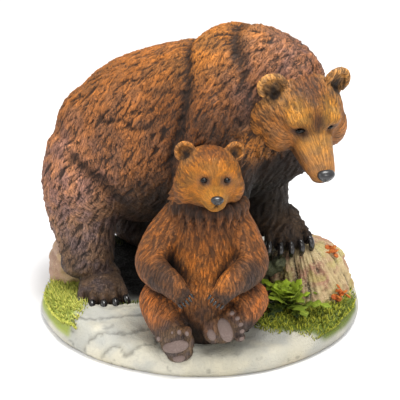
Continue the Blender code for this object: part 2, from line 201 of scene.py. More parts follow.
def grain(points: Array, size: float, salt: int, octaves: int = 3) -> Array:
    """Fractal value noise: random values at grid corners, eased between them, each octave half the size.

    Args:
        points: places, shape (n, 3).
        size: distance from one corner to the next, in the points' unit.
        salt: tells one pattern from another.
        octaves: how many sizes are added up, each with half the weight of the one before.

    Returns:
        Values around 0, mostly between -1 and 1, shape (n,).
    """
    total = np.zeros(len(points))
    weight = 1.0
    for octave in range(octaves):
        scaled = points / (size / 2**octave)
        corner = np.floor(scaled).astype(np.int64)
        share = scaled - corner
        share = share * share * (3 - 2 * share)
        value = np.zeros(len(points))
        for step in np.ndindex(2, 2, 2):
            near = np.prod(np.where(np.array(step) == 1, share, 1 - share), axis=1)
            value += near * chance_of(corner + np.array(step), salt + octave, 1)[:, 0]
        total += weight * (2 * value - 1)
        weight *= 0.5
    return total


@dataclass(frozen=True)
class Place:
    """A place to work in: an origin in metres, three axes as columns, and the size of its unit."""

    origin: Array
    axes: Array
    unit: float = 1.0

    @staticmethod
    def turn(yaw: float, pitch: float, roll: float) -> Array:
        """The rotation by yaw about up, then nose down by pitch, then by roll, in degrees."""
        y, p, r = np.radians([yaw, pitch, roll])
        about_up = np.array([[np.cos(y), -np.sin(y), 0], [np.sin(y), np.cos(y), 0], [0, 0, 1]])
        about_left = np.array([[np.cos(p), 0, np.sin(p)], [0, 1, 0], [-np.sin(p), 0, np.cos(p)]])
        about_forward = np.array([[1, 0, 0], [0, np.cos(r), -np.sin(r)], [0, np.sin(r), np.cos(r)]])
        return about_up @ about_left @ about_forward

    @classmethod
    def figure(cls, spot: tuple[float, float], yaw: float, unit: float) -> "Place":
        """The place of a figure that stands on the base's top."""
        return cls(np.array([*spot, BASE_THICKNESS]), cls.turn(yaw, 0, 0), unit)

    def at(self, centre: Sequence[float], yaw: float = 0.0, pitch: float = 0.0, roll: float = 0.0) -> "Place":
        """A place within this one, moved to centre and turned, with the same unit."""
        return Place(self.out(np.asarray(centre, float)), self.axes @ self.turn(yaw, pitch, roll), self.unit)

    def out(self, points: Array) -> Array:
        """Carries points of this place to the frame: origin plus unit times the axes' sum."""
        return self.origin + self.unit * np.asarray(points, float) @ self.axes.T

    def own(self, points: Array) -> Array:
        """Carries points of the frame to this place, the reverse of out."""
        return (points - self.origin) @ self.axes / self.unit


WHOLE = Place(np.zeros(3), np.eye(3))


@dataclass
class Surface:
    """A mesh as arrays: points in metres, and faces of three or four corners, NO_CORNER filling the fourth."""

    points: Array
    faces: Array
    normals: Array | None = None

    @staticmethod
    def joined(parts: Sequence["Surface"]) -> "Surface":
        """All the parts as one mesh: their corners are numbered on from part to part."""
        starts = np.cumsum([0, *(len(part.points) for part in parts[:-1])])
        faces = [np.where(part.faces >= 0, part.faces + start, NO_CORNER) for part, start in zip(parts, starts)]
        return Surface(np.vstack([part.points for part in parts]), np.vstack(faces))


def closed(rings: Array) -> Surface:
    """Closes stacks of rings into bodies: four-cornered faces between rings and a fan at each end.

    The rings turn anticlockwise about the way they are stacked, so the faces point outwards.

    Args:
        rings: shape (rows, count, 3), or (bodies, rows, count, 3) for many alike.

    Returns:
        The bodies as one mesh.
    """
    rings = rings.reshape(-1, *rings.shape[-3:])
    bodies, rows, count, _ = rings.shape
    start = np.arange(bodies)[:, None, None] * (rows * count + 2)
    corner = start + np.arange(rows * count).reshape(1, rows, count)
    low, high = corner[:, :-1], corner[:, 1:]
    walls = np.stack([low, np.roll(low, -1, 2), np.roll(high, -1, 2), high], -1)
    first, last = corner[:, 0], corner[:, -1]
    pole = np.broadcast_to(start[:, 0] + rows * count, first.shape)
    blank = np.full(first.shape, NO_CORNER)
    bottom = np.stack([np.roll(first, -1, 1), first, pole, blank], -1)
    top = np.stack([last, np.roll(last, -1, 1), pole + 1, blank], -1)
    ends = np.stack([rings[:, 0].mean(1), rings[:, -1].mean(1)], 1)
    points = np.concatenate([rings.reshape(bodies, -1, 3), ends], 1).reshape(-1, 3)
    return Surface(points, np.vstack([part.reshape(-1, 4) for part in (walls, bottom, top)]))


def eased_rows(sections: Sequence[Sequence[float]], between: int) -> Array:
    """Rows along a Catmull-Rom curve through the sections.

    It is a cubic whose slope at each section is half its neighbours' difference.

    Args:
        sections: the rows that the curve goes through.
        between: steps from each section to the next.

    Returns:
        The rows, shape ((sections - 1) * between + 1, values).
    """
    rows = np.asarray(sections, float)
    ends = np.vstack([2 * rows[0] - rows[1], rows, 2 * rows[-1] - rows[-2]])
    share = np.linspace(0, len(rows) - 1, (len(rows) - 1) * between + 1)
    at = np.minimum(share.astype(int), len(rows) - 2)
    t = (share - at)[:, None]
    before, start, stop, after = (ends[at + k] for k in range(4))
    bend = 2 * before - 5 * start + 4 * stop - after
    twist = 3 * start - before - 3 * stop + after
    return 0.5 * (2 * start + (stop - before) * t + bend * t**2 + twist * t**3)


def tube(
    place: Place,
    sections: Sequence[Section],
    side: Triple = (0, 1, 0),
    across: Triple | None = None,
    count: int = 32,
    dome: float = 0.55,
    between: int = 6,
) -> Surface:
    """A closed body through elliptical sections: centre + side * width * cos(a) + depth way * depth * sin(a).

    The ends close as domes: the ring slides out by the sine and shrinks by the cosine of one angle.

    Args:
        place: where it is drawn.
        sections: forward, left, up, half width, half depth of each section.
        side: the way that the half widths lie.
        across: the way that every section faces, or None for square to the run.
        count: points round a ring.
        dome: how far an end bulges, as a share of its smaller half size.
        between: rows from one section to the next.

    Returns:
        The body in the frame.
    """
    rows = eased_rows(sections, between)
    middles = rows[:, :3]
    run = np.gradient(middles, axis=0) if across is None else np.tile(np.asarray(across, float), (len(rows), 1))
    run = run / np.linalg.norm(run, axis=1, keepdims=True)
    before, beyond = (
        np.column_stack(
            [
                middles[end] + way * run[end] * dome * min(rows[end, 3:]) * np.sin(DOME_ANGLES)[:, None],
                np.cos(DOME_ANGLES)[:, None] * rows[end, 3:],
            ]
        )
        for end, way in ((0, -1), (-1, 1))
    )
    rows = np.vstack([before, rows, beyond[::-1]])
    run = np.vstack([np.tile(run[0], (len(before), 1)), run, np.tile(run[-1], (len(beyond), 1))])
    deep = np.cross(run, np.asarray(side, float))
    deep /= np.linalg.norm(deep, axis=1, keepdims=True)
    wide = np.cross(deep, run)
    turn = np.linspace(0, 2 * np.pi, count, endpoint=False)[None, :, None]
    spread = wide[:, None] * rows[:, 3, None, None] * np.cos(turn)
    spread = spread + deep[:, None] * rows[:, 4, None, None] * np.sin(turn)
    return closed(place.out(rows[:, None, :3] + spread))


def ball(
    place: Place,
    centre: Sequence[float],
    radii: Sequence[float],
    yaw: float = 0.0,
    pitch: float = 0.0,
    roll: float = 0.0,
    count: int = 28,
) -> Surface:
    """An ellipsoid from rings of latitude: (cos v cos u, cos v sin u, sin v) times the three half sizes.

    Args:
        place: where it is drawn.
        centre: its middle.
        radii: its half sizes along forward, left and up.
        yaw: its own turn about up, in degrees.
        pitch: its own turn nose down, in degrees.
        roll: its own roll, in degrees.
        count: points round a ring.

    Returns:
        The ellipsoid in the frame.
    """
    around = np.linspace(0, 2 * np.pi, count, endpoint=False)[None, :]
    up = np.linspace(-np.pi / 2, np.pi / 2, count // 2 + 1)[1:-1, None]
    unit = np.stack([np.cos(up) * np.cos(around), np.cos(up) * np.sin(around), np.sin(up) + 0 * around], -1)
    return closed(place.at(centre, yaw, pitch, roll).out(unit * np.asarray(radii, float)))


def path_distance(points: Array, path: Sequence[Triple]) -> Array:
    """The distance from each point to a broken line: the least of those to its straight stretches.

    Args:
        points: shape (n, 3).
        path: the line's corners.

    Returns:
        The distances, shape (n,).
    """
    least = np.full(len(points), np.inf)
    for start, stop in zip(np.array(path[:-1], float), np.array(path[1:], float)):
        run = stop - start
        share = np.clip((points - start) @ run / (run @ run), 0, 1)
        least = np.minimum(least, np.linalg.norm(points - start - share[:, None] * run, axis=1))
    return least


def mesh_of(surface: Surface, name: str) -> bpy.types.Mesh:
    """Puts a surface's arrays into a new mesh in one go.

    Args:
        surface: the points and faces.
        name: the mesh's name.

    Returns:
        The mesh.
    """
    mesh = bpy.data.meshes.new(name)
    corners = surface.faces.ravel()
    corners = corners[corners >= 0]
    sizes = (surface.faces >= 0).sum(1)
    mesh.vertices.add(len(surface.points))
    mesh.vertices.foreach_set("co", surface.points.astype(np.float32).ravel())
    mesh.loops.add(len(corners))
    mesh.loops.foreach_set("vertex_index", corners.astype(np.int32))
    mesh.polygons.add(len(sizes))
    mesh.polygons.foreach_set("loop_start", (np.cumsum(sizes) - sizes).astype(np.int32))
    mesh.update(calc_edges=True)
    mesh.validate()
    return mesh


def fused(parts: Sequence[Surface], voxel: float, smoothing: int) -> Surface:
    """Welds overlapping bodies into one skin of square faces, and eases the creases between them.

    Args:
        parts: closed bodies that overlap.
        voxel: the side of a face, in metres.
        smoothing: how often each point is moved half way to its neighbours' middle.

    Returns:
        The skin with its normals.
    """
    obj = bpy.data.objects.new("fusing", mesh_of(Surface.joined(parts), "fusing"))
    bpy.context.scene.collection.objects.link(obj)
    remesh = obj.modifiers.new("Fuse", "REMESH")
    remesh.mode = "VOXEL"
    remesh.voxel_size = voxel
    soften = obj.modifiers.new("Ease creases", "SMOOTH")
    soften.factor = 0.5
    soften.iterations = smoothing
    bpy.context.view_layer.update()
    skin = obj.evaluated_get(bpy.context.evaluated_depsgraph_get()).to_mesh()
    points = np.empty(len(skin.vertices) * 3, np.float32)
    skin.vertices.foreach_get("co", points)
    normals = np.empty(len(skin.vertices) * 3, np.float32)
    skin.vertex_normals.foreach_get("vector", normals)
    corners = np.empty(len(skin.loops), np.int32)
    skin.loops.foreach_get("vertex_index", corners)
    mesh = obj.data
    bpy.data.objects.remove(obj)
    bpy.data.meshes.remove(mesh)
    return Surface(points.reshape(-1, 3).astype(float), corners.reshape(-1, 4), normals.reshape(-1, 3).astype(float))


@dataclass(frozen=True)
class Dab:
    """A soft rise at a spot of a figure, or a dent where the height is negative.

    It is height * exp(-(distance / reach)^2).
    """

    at: Triple
    reach: Triple
    height: float
    both_sides: bool = True

    def share(self, own: Array) -> Array:
        """How much of the dab each point gets, 0 to 1."""
        side = np.abs(own[:, 1]) if self.both_sides else own[:, 1]
        aside = abs(self.at[1]) if self.both_sides else self.at[1]
        offset = np.column_stack([own[:, 0] - self.at[0], side - aside, own[:, 2] - self.at[2]])
        return np.exp(-((offset / np.asarray(self.reach)) ** 2).sum(1))


@dataclass(frozen=True)
class Groove:
    """A cut line along a path, the same on both sides: depth * exp(-(distance / width)^2).

    The distance counts the offset to the side only by the share `aside`.
    """

    path: tuple[Triple, ...]
    width: float
    depth: float
    # How much a cut darkens the paint and the relief: painted shade in the body's creases, the dark line of a mouth
    shade_and_stain: float = 0.85
    aside: float = 1.0

    def share(self, own: Array) -> Array:
        """How much of the groove each point gets, 0 to 1."""
        folded = np.column_stack([own[:, 0], np.abs(own[:, 1]) * self.aside, own[:, 2]])
        path = [(forward, left * self.aside, up) for forward, left, up in self.path]
        return np.exp(-((path_distance(folded, path) / self.width) ** 2))


@dataclass(frozen=True)
class Wash:
    """A broad area of paint.

    Washes share the skin by their nearness: the colours' mean weighted by exp(-(distance / reach)^2).
    """

    at: Triple
    reach: float
    colour: Triple


@dataclass(frozen=True)
class Touch:
    """A smaller area of paint laid over the washes, as strong as its strength where it is nearest."""

    at: Triple
    reach: Triple
    colour: Triple
    strength: float = 0.9
    both_sides: bool = True


def painted(own: Array, washes: Sequence[Wash], touches: Sequence[Touch]) -> Array:
    """The paint at each point of a figure: the washes' weighted mean, then each touch laid over it in turn.

    Args:
        own: points in the figure's own millimetres.
        washes: the broad areas, the same on both sides.
        touches: the smaller areas.

    Returns:
        Linear colours, shape (n, 3).
    """
    folded = np.column_stack([own[:, 0], np.abs(own[:, 1]), own[:, 2]])
    total = np.full(len(own), TINY)
    colour = np.tile(linear(washes[0].colour) * TINY, (len(own), 1))
    for wash in washes:
        weight = np.exp(-(((folded - np.asarray(wash.at)) / wash.reach) ** 2).sum(1))
        total += weight
        colour += weight[:, None] * linear(wash.colour)
    colour /= total[:, None]
    for touch in touches:
        cover = Dab(touch.at, touch.reach, 1.0, touch.both_sides).share(own)
        cover = touch.strength * np.clip(TOUCH_GAIN * cover, 0, 1)
        colour = blended(colour, linear(touch.colour), cover)
    return colour


@dataclass(frozen=True)
class Fur:
    """Carved fur: it lies away from its crown, in locks whose strands draw together at the tip.

    Sizes are in the figure's own millimetres.
    """

    crown: Triple
    spacing: float
    length: float
    width: float
    height: float
    strands: float = 2.5
    sway: float = 0.35
    unlike: float = 0.25
    salt: int = 3

    def relief(self, own: Array, normals: Array) -> Array:
        """The carved height at each point, 0 to 1: the highest of the locks that reach it.

        Locks stand in the cells of a grid, one at a random spot in each. A lock's share along its
        length is t, its half width w = width * sqrt(t + 0.05) * (1 - t^3), and its height
        (0.3 + 0.7 t) * sqrt(1 - (aside / w)^2), rippled by cos(strands * pi * aside / w).

        Args:
            own: points in the figure's own millimetres.
            normals: the skin's directions there, in the figure's own axes.

        Returns:
            The relief, shape (n,).
        """
        cell = np.floor(own / self.spacing).astype(np.int64)
        crown = np.asarray(self.crown)
        best = np.zeros(len(own))
        for step in np.ndindex(3, 3, 3):
            near = cell + np.array(step) - 1
            chance = chance_of(near, self.salt, 5)
            seed = (near + chance[:, :3]) * self.spacing
            way = seed - crown
            way /= np.linalg.norm(way, axis=1, keepdims=True)
            aside_way = np.cross(normals, way)
            aside_way /= np.linalg.norm(aside_way, axis=1, keepdims=True) + TINY
            along_way = np.cross(aside_way, normals)
            swing = self.sway * (2 * chance[:, 3:4] - 1)
            offset = own - seed
            size = 1 + self.unlike * (2 * chance[:, 4] - 1)
            along = (offset * (along_way + swing * aside_way)).sum(1)
            aside = (offset * (aside_way - swing * along_way)).sum(1)
            t = along / (self.length * size) + 0.5
            inside = np.clip(t, 0, 1)
            half = self.width * size * np.sqrt(inside + 0.05) * (1 - inside**3) / 2 + 1e-6
            share = aside / half
            body = np.sqrt(np.clip(1 - share**2, 0, 1)) * (0.3 + 0.7 * inside)
            ripple = 0.85 + 0.15 * np.cos(self.strands * np.pi * share)
            deep = np.clip(1 - ((offset * normals).sum(1) / self.spacing) ** 2, 0, 1)
            best = np.maximum(best, np.where((t > 0) & (t < 1), body * ripple * deep, 0))
        return best


@dataclass(frozen=True)
class RoundComb:
    """Fine hair lying along the meridians of an ellipsoid, away from its pole.

    Sizes are in the figure's own millimetres: the middle and half sizes of the ellipsoid, the
    pole's direction, and the width and length of a strand.
    """

    middle: Triple
    half: Triple
    pole: Triple
    width: float
    length: float

    def coordinates(self, own: Array) -> Array:
        """Coordinates in which a strand is one unit wide and one long.

        The meridian's turn is laid out as a circle of the mean half size over the strand's width,
        and the angle from the pole runs along it, over the strand's length.

        Args:
            own: points in the figure's own millimetres.

        Returns:
            The coordinates, shape (n, 3).
        """
        way = (own - np.asarray(self.middle)) / np.asarray(self.half)
        way /= np.linalg.norm(way, axis=1, keepdims=True) + TINY
        pole = np.asarray(self.pole) / np.linalg.norm(self.pole)
        away = way @ pole
        aside = way - away[:, None] * pole
        aside /= np.linalg.norm(aside, axis=1, keepdims=True) + TINY
        first = np.cross(pole, (0.31, 0.87, 0.39))
        first /= np.linalg.norm(first)
        size = float(np.mean(self.half))
        spread = size / self.width * aside
        along = size / self.length * np.arccos(np.clip(away, -1, 1))
        return np.column_stack([spread @ first, spread @ np.cross(pole, first), along])


@dataclass(frozen=True)
class SpineComb:
    """Fine hair falling from a spine down both flanks, slanting back, and straight down the rump and the legs.

    Sizes are in the figure's own millimetres.
    """

    middle: float
    half: tuple[float, float]
    slant: float
    rump: float
    knee: float
    flank: float
    width: float
    length: float
    turning: float = 25.0
    overlap: float = 10.0

    def coordinates(self, own: Array) -> Array:
        """Coordinates in which a strand is one unit wide and one long.

        With a the angle from the spine times the mean half size and m the share of rump or leg, they
        are (forward + slant (1 - m) a) / width, m (|left| - flank) / width and
        (a + depth below the knee) / length. Hair turns to hang straight over the length `turning`.

        Args:
            own: points in the figure's own millimetres.

        Returns:
            The coordinates, shape (n, 3).
        """
        aside = np.abs(own[:, 1])
        rise = (own[:, 2] - self.middle) / self.half[1]
        fall = np.arctan2(aside / self.half[0], rise) * float(np.mean(self.half))
        on_rump = ease(-own[:, 0], self.rump, self.rump + self.turning)
        on_leg = ease(-own[:, 2], -self.knee - self.turning, -self.knee)
        straight = np.maximum(on_rump, on_leg)
        below = np.clip(self.knee + self.overlap - own[:, 2], 0, None)
        across = (own[:, 0] + self.slant * (1 - straight) * fall) / self.width
        return np.column_stack([across, straight * (aside - self.flank) / self.width, (fall + below) / self.length])


class Wiring:
    """A short way to lay out a node tree: each call adds a node and joins its inputs."""

    def __init__(self, tree: bpy.types.NodeTree) -> None:
        """Starts on a node tree."""
        self.tree = tree

    def put(self, socket: bpy.types.NodeSocket, value: Any) -> None:
        """Joins an input to another node's output, or sets its value.

        Args:
            socket: the input.
            value: an output, a colour or vector as an array, or a number.
        """
        if isinstance(value, bpy.types.NodeSocket):
            self.tree.links.new(value, socket)
        elif isinstance(value, np.ndarray):
            socket.default_value = (*value, 1.0) if socket.type == "RGBA" else tuple(value)
        else:
            socket.default_value = value

    def node(self, kind: str, settings: dict[str, Any] | None = None, **inputs: Any) -> bpy.types.Node:
        """Adds a node.

        Args:
            kind: the node's type without its "ShaderNode".
            settings: the node's own settings.
            inputs: values or sockets by input name, with _ for a blank.

        Returns:
            The node.
        """
        made = self.tree.nodes.new("ShaderNode" + kind)
        for name, value in (settings or {}).items():
            setattr(made, name, value)
        for name, value in inputs.items():
            self.put(made.inputs[name.replace("_", " ")], value)
        return made

    def math(self, operation: str, *values: Any) -> bpy.types.NodeSocket:
        """The result of a Math node."""
        made = self.node("Math", {"operation": operation})
        for socket, value in zip(made.inputs, values):
            self.put(socket, value)
        return made.outputs[0]

    def vector(self, operation: str, *values: Any) -> bpy.types.NodeSocket:
        """The vector of a Vector Math node; a number goes to its scale."""
        made = self.node("VectorMath", {"operation": operation})
        sockets = (made.inputs[0], made.inputs["Scale"]) if operation == "SCALE" else made.inputs
        for socket, value in zip(sockets, values):
            self.put(socket, value)
        return made.outputs["Vector"]

    def mix(self, share: Any, low: Any, high: Any, kind: str = "MIX") -> bpy.types.NodeSocket:
        """The colour of a Mix node.

        Args:
            share: how much of the second colour there is.
            low: the first colour.
            high: the second colour.
            kind: how the two are put together.

        Returns:
            The mixed colour.
        """
        made = self.node("Mix", {"data_type": "RGBA", "blend_type": kind, "clamp_factor": True})
        for index, value in ((0, share), (6, low), (7, high)):
            self.put(made.inputs[index], value)
        return made.outputs[2]

    def tinted(self, share: Any, tone: Any, tint: Array) -> bpy.types.NodeSocket:
        """A colour carried by a share towards itself times a tint."""
        return self.mix(share, tone, self.mix(1.0, tone, tint, "MULTIPLY"))

    def ramp(self, value: Any, low: float, high: float, start: float = 0.0, stop: float = 1.0) -> bpy.types.NodeSocket:
        """A value carried smoothly from one span to another.

        Args:
            value: what is carried.
            low: where the first span begins.
            high: where it ends.
            start: what its beginning becomes.
            stop: what its end becomes.

        Returns:
            The carried value.
        """
        made = self.node("MapRange", {"interpolation_type": "SMOOTHSTEP"}, Value=value)
        for name, number in (("From Min", low), ("From Max", high), ("To Min", start), ("To Max", stop)):
            made.inputs[name].default_value = number
        return made.outputs[0]

    def noise(self, vector: Any, scale: Any, detail: float, roughness: float = 0.5) -> bpy.types.NodeSocket:
        """Noise with about `scale` features to a unit of the vector."""
        return self.node("TexNoise", Vector=vector, Scale=scale, Detail=detail, Roughness=roughness).outputs["Fac"]

    def place(self) -> bpy.types.NodeSocket:
        """Object coordinates."""
        return self.node("TexCoord").outputs["Object"]

    def attribute(self, name: str, output: str = "Fac") -> bpy.types.NodeSocket:
        """A mesh attribute."""
        return self.node("Attribute", {"attribute_name": name}).outputs[output]

    def group(self, tree: bpy.types.NodeTree, **inputs: Any) -> bpy.types.Node:
        """A node group placed with its own values."""
        made = self.node("Group", {"node_tree": tree})
        for name, value in inputs.items():
            self.put(made.inputs[name.replace("_", " ")], value)
        return made


def new_group(name: str, inputs: dict[str, str], outputs: dict[str, str]) -> tuple[Wiring, Any, Any]:
    """A shader node group with named sockets.

    Args:
        name: the group's name.
        inputs: socket kinds by name.
        outputs: socket kinds by name.

    Returns:
        Its wiring, its input node and its output node.
    """
    tree = bpy.data.node_groups.new(name, "ShaderNodeTree")
    for way, sockets in (("INPUT", inputs), ("OUTPUT", outputs)):
        for label, kind in sockets.items():
            tree.interface.new_socket(label, in_out=way, socket_type="NodeSocket" + kind)
    return Wiring(tree), tree.nodes.new("NodeGroupInput"), tree.nodes.new("NodeGroupOutput")


class Effects:
    """The node groups that several finishes share, each built once."""

    def __init__(self) -> None:
        """Builds every group."""
        self.strands = self._strands()
        self.dry_brush = self._dry_brush()
        self.stipple = self._stipple()

    @staticmethod
    def _strands() -> bpy.types.NodeTree:
        """Fine hair in combed coordinates, with dark cuts between the strands.

        Noise drawn out along the hair gives its height; a cut runs wherever that noise crosses its
        middle value. A second, broader noise gathers the strands in wisps.
        """
        w, given, made = new_group(
            "combed strands",
            {"Comb": "Vector", "Vector": "Vector", "Sway": "Float"},
            {"Strand": "Float"},
        )
        drift = w.node("TexNoise", Vector=given.outputs["Vector"], Scale=260.0, Detail=1.0).outputs["Color"]
        drift = w.vector("SCALE", w.vector("SUBTRACT", drift, np.array([0.5, 0.5, 0.5])), given.outputs["Sway"])
        spot = w.vector("ADD", given.outputs["Comb"], drift)
        hair = w.noise(spot, 0.95, 1.0)
        wisp = w.noise(spot, 0.36, 1.0)
        cut = w.ramp(w.math("ABSOLUTE", w.math("SUBTRACT", hair, 0.5)), 0.0, 0.06)
        deep = w.ramp(w.math("ABSOLUTE", w.math("SUBTRACT", wisp, 0.5)), 0.0, 0.06)
        half_hair = w.math("MULTIPLY", w.ramp(hair, 0.3, 0.7), 0.5)
        body = w.math("ADD", half_hair, w.math("MULTIPLY", w.ramp(wisp, 0.3, 0.7), 0.5))
        both = w.ramp(w.math("MULTIPLY", cut, w.ramp(deep, 0.0, 1.0, 0.35, 1.0)), 0.0, 1.0, 0.25, 1.0)
        w.put(made.inputs["Strand"], w.math("MULTIPLY", both, w.ramp(body, 0.0, 1.0, 0.55, 1.0)))
        return w.tree

    @staticmethod
    def _dry_brush() -> bpy.types.NodeTree:
        """Paint left on the raised parts and a dark wash left in the cuts.

        The height is the relief and the strands together: low places take the wash, high ones the brush.
        """
        w, given, made = new_group(
            "dry brush",
            {"Tone": "Color"} | dict.fromkeys(("Relief", "Strand", "Wash", "Brush", "Mottle"), "Float"),
            {"Color": "Color", "Height": "Float"},
        )
        lift = w.math("MULTIPLY", w.ramp(given.outputs["Relief"], 0.0, 0.7, 0.18, 1.0), given.outputs["Strand"])
        gold = w.tinted(0.55, given.outputs["Tone"], GOLD_TINT)
        mauve = w.tinted(0.75, given.outputs["Tone"], MAUVE_TINT)
        tone = w.mix(given.outputs["Mottle"], mauve, gold)
        deep = w.mix(given.outputs["Wash"], tone, WASH_INK)
        light = w.tinted(given.outputs["Brush"], tone, BRUSH_TINT)
        low = w.mix(w.ramp(lift, 0.06, 0.48), deep, tone)
        w.put(made.inputs["Color"], w.mix(w.ramp(lift, 0.55, 0.95), low, light))
        w.put(made.inputs["Height"], lift)
        return w.tree

    @staticmethod
    def _stipple() -> bpy.types.NodeTree:
        """Fine spots of paint, and clouds of them: two sizes of noise, each hardened at its middle."""
        w, given, made = new_group(
            "stippled paint",
            {"Vector": "Vector", "Size": "Float"},
            {"Speck": "Float", "Cloud": "Float"},
        )
        per_metre = w.math("DIVIDE", 1.0, given.outputs["Size"])
        speck = w.noise(given.outputs["Vector"], per_metre, 2.0)
        cloud = w.noise(given.outputs["Vector"], w.math("MULTIPLY", per_metre, 0.12), 3.0)
        w.put(made.inputs["Speck"], w.ramp(speck, 0.46, 0.62))
        w.put(made.inputs["Cloud"], w.ramp(cloud, 0.35, 0.65))
        return w.tree


def new_material(name: str) -> tuple[bpy.types.Material, Wiring, bpy.types.Node]:
    """An empty material with its Principled shader joined up.

    Args:
        name: the material's name.

    Returns:
        The material, its wiring and its shader.
    """
    material = bpy.data.materials.new(name)
    material.use_nodes = True
    wiring = Wiring(material.node_tree)
    return material, wiring, material.node_tree.nodes["Principled BSDF"]


@dataclass(frozen=True)
class FurPaint:
    """Painted fur: tone from the mesh, dark wash in the cuts, a dry brush over the locks and fine strands, and painted
    shade in its creases.
    """

    name: str
    wash: float = 0.92
    brush: float = 0.30
    roughness: float = 0.50
    bump: float = 1.0
    # How far the painted shade of the creases reaches, in metres
    crease: float = 0.010
    sway: float = 2.8
    patches: float = 0.012
    gloss: float = 0.32

    def material(self, effects: Effects) -> bpy.types.Material:
        """Builds the material."""
        material, w, shader = new_material(self.name)
        spot = w.place()
        hair = w.group(effects.strands, Comb=w.attribute("comb", "Vector"), Vector=spot, Sway=self.sway)
        strand = hair.outputs["Strand"]
        mottle = w.ramp(w.noise(spot, 1 / self.patches, 3.0, 0.55), 0.36, 0.62)
        paint = w.group(
            effects.dry_brush,
            Tone=w.attribute("tone", "Color"),
            Relief=w.attribute("relief"),
            Strand=strand,
            Wash=self.wash,
            Brush=self.brush,
            Mottle=mottle,
        )
        # Painted shade: where the skin hides itself, the paint goes nearly black, standing also for the wash that
        # gathers in its creases
        creases = w.node("AmbientOcclusion", {"samples": 6, "only_local": True}, Distance=self.crease).outputs["AO"]
        dark = w.ramp(creases, 0.20, 0.85)
        w.put(shader.inputs["Base Color"], w.mix(dark, CREASE_SHADE_AND_WASH, paint.outputs["Color"]))
        rough = w.ramp(paint.outputs["Height"], 0.2, 0.9, self.roughness + 0.16, self.roughness)
        w.put(shader.inputs["Roughness"], rough)
        shader.inputs["Specular IOR Level"].default_value = self.gloss
        bump = w.node("Bump", Strength=self.bump, Distance=HAIR_BUMP, Height=strand)
        w.put(shader.inputs["Normal"], bump.outputs["Normal"])
        return material


@dataclass(frozen=True)
class Enamel:
    """Glossy dark paint, a little lighter in soft clouds, for claws, noses and eyes."""

    name: str
    colour: Triple
    lighter: Triple
    roughness: float
    coat: float
    gloss: float = 0.5

    def material(self, effects: Effects) -> bpy.types.Material:
        """Builds the material."""
        material, w, shader = new_material(self.name)
        shader.inputs["Specular IOR Level"].default_value = self.gloss
        cloud = w.group(effects.stipple, Vector=w.place(), Size=0.0008)
        w.put(shader.inputs["Base Color"], w.mix(cloud.outputs["Cloud"], linear(self.colour), linear(self.lighter)))
        rough = w.ramp(cloud.outputs["Speck"], 0.0, 1.0, self.roughness, self.roughness + 0.12)
        w.put(shader.inputs["Roughness"], rough)
        shader.inputs["Coat Weight"].default_value = self.coat
        shader.inputs["Coat Roughness"].default_value = 0.12
        return material


@dataclass(frozen=True)
class Plain:
    """Stippled paint over a modelled surface whose broad colours are in its tone attribute."""

    name: str
    wash: float = 0.5
    speck: Triple = (120, 120, 110)
    speck_share: float = 0.35
    size: float = 0.0012
    roughness: float = 0.55
    bump: float = 0.5
    gloss: float = 0.22

    def material(self, effects: Effects) -> bpy.types.Material:
        """Builds the material."""
        material, w, shader = new_material(self.name)
        spot = w.place()
        paint = w.group(effects.stipple, Vector=spot, Size=self.size)
        tone = w.attribute("tone", "Color")
        deep = w.mix(self.wash, tone, HOLLOW_INK)
        body = w.mix(w.ramp(w.attribute("relief"), 0.0, 0.5), deep, tone)
        share = w.math("MULTIPLY", paint.outputs["Speck"], self.speck_share)
        share = w.math("MULTIPLY", share, w.ramp(paint.outputs["Cloud"], 0.0, 1.0, 0.35, 1.0))
        w.put(shader.inputs["Base Color"], w.mix(share, body, linear(self.speck)))
        shader.inputs["Specular IOR Level"].default_value = self.gloss
        rough = w.ramp(paint.outputs["Cloud"], 0.0, 1.0, self.roughness + 0.1, self.roughness - 0.05)
        w.put(shader.inputs["Roughness"], rough)
        bump = w.node("Bump", Strength=self.bump, Distance=SPECK_BUMP, Height=paint.outputs["Speck"])
        w.put(shader.inputs["Normal"], bump.outputs["Normal"])
        return material


def piece(
    name: str,
    surface: Surface,
    material: bpy.types.Material,
    tone: Array | Triple | None = None,
    relief: Array | float | None = None,
    comb: Array | None = None,
) -> bpy.types.Object:
    """Makes one shown piece of the figurine from a surface.

    Args:
        name: the piece's name.
        surface: its mesh.
        material: its finish.
        tone: its paint in linear light for each point, or one screen colour for all.
        relief: its carved height, 0 to 1, for each point or for all.
        comb: its combed coordinates for each point.

    Returns:
        The object, riding on the figurine's body.
    """
    mesh = mesh_of(surface, name)
    count = len(surface.points)
    if tone is not None:
        colours = np.broadcast_to(linear(tone) if isinstance(tone, tuple) else tone, (count, 3))
        layer = mesh.attributes.new("tone", "FLOAT_COLOR", "POINT")
        layer.data.foreach_set("color", np.column_stack([colours, np.ones(count)]).astype(np.float32).ravel())
    if relief is not None:
        layer = mesh.attributes.new("relief", "FLOAT", "POINT")
        layer.data.foreach_set("value", np.broadcast_to(relief, count).astype(np.float32))
    if comb is not None:
        layer = mesh.attributes.new("comb", "FLOAT_VECTOR", "POINT")
        layer.data.foreach_set("vector", comb.astype(np.float32).ravel())
    mesh.shade_smooth()
    mesh.materials.append(material)
    obj = bpy.data.objects.new(name, mesh)
    bpy.context.scene.collection.objects.link(obj)
    return mounted(obj)


def mounted(obj: bpy.types.Object) -> bpy.types.Object:
    """Rides a piece on the figurine's body, in the solid's place.

    Args:
        obj: the piece.

    Returns:
        The same object.
    """
    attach(obj, BODY)
    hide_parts(NODE)
    LOG.info("%s: %d faces", obj.name, len(obj.data.polygons))
    return obj


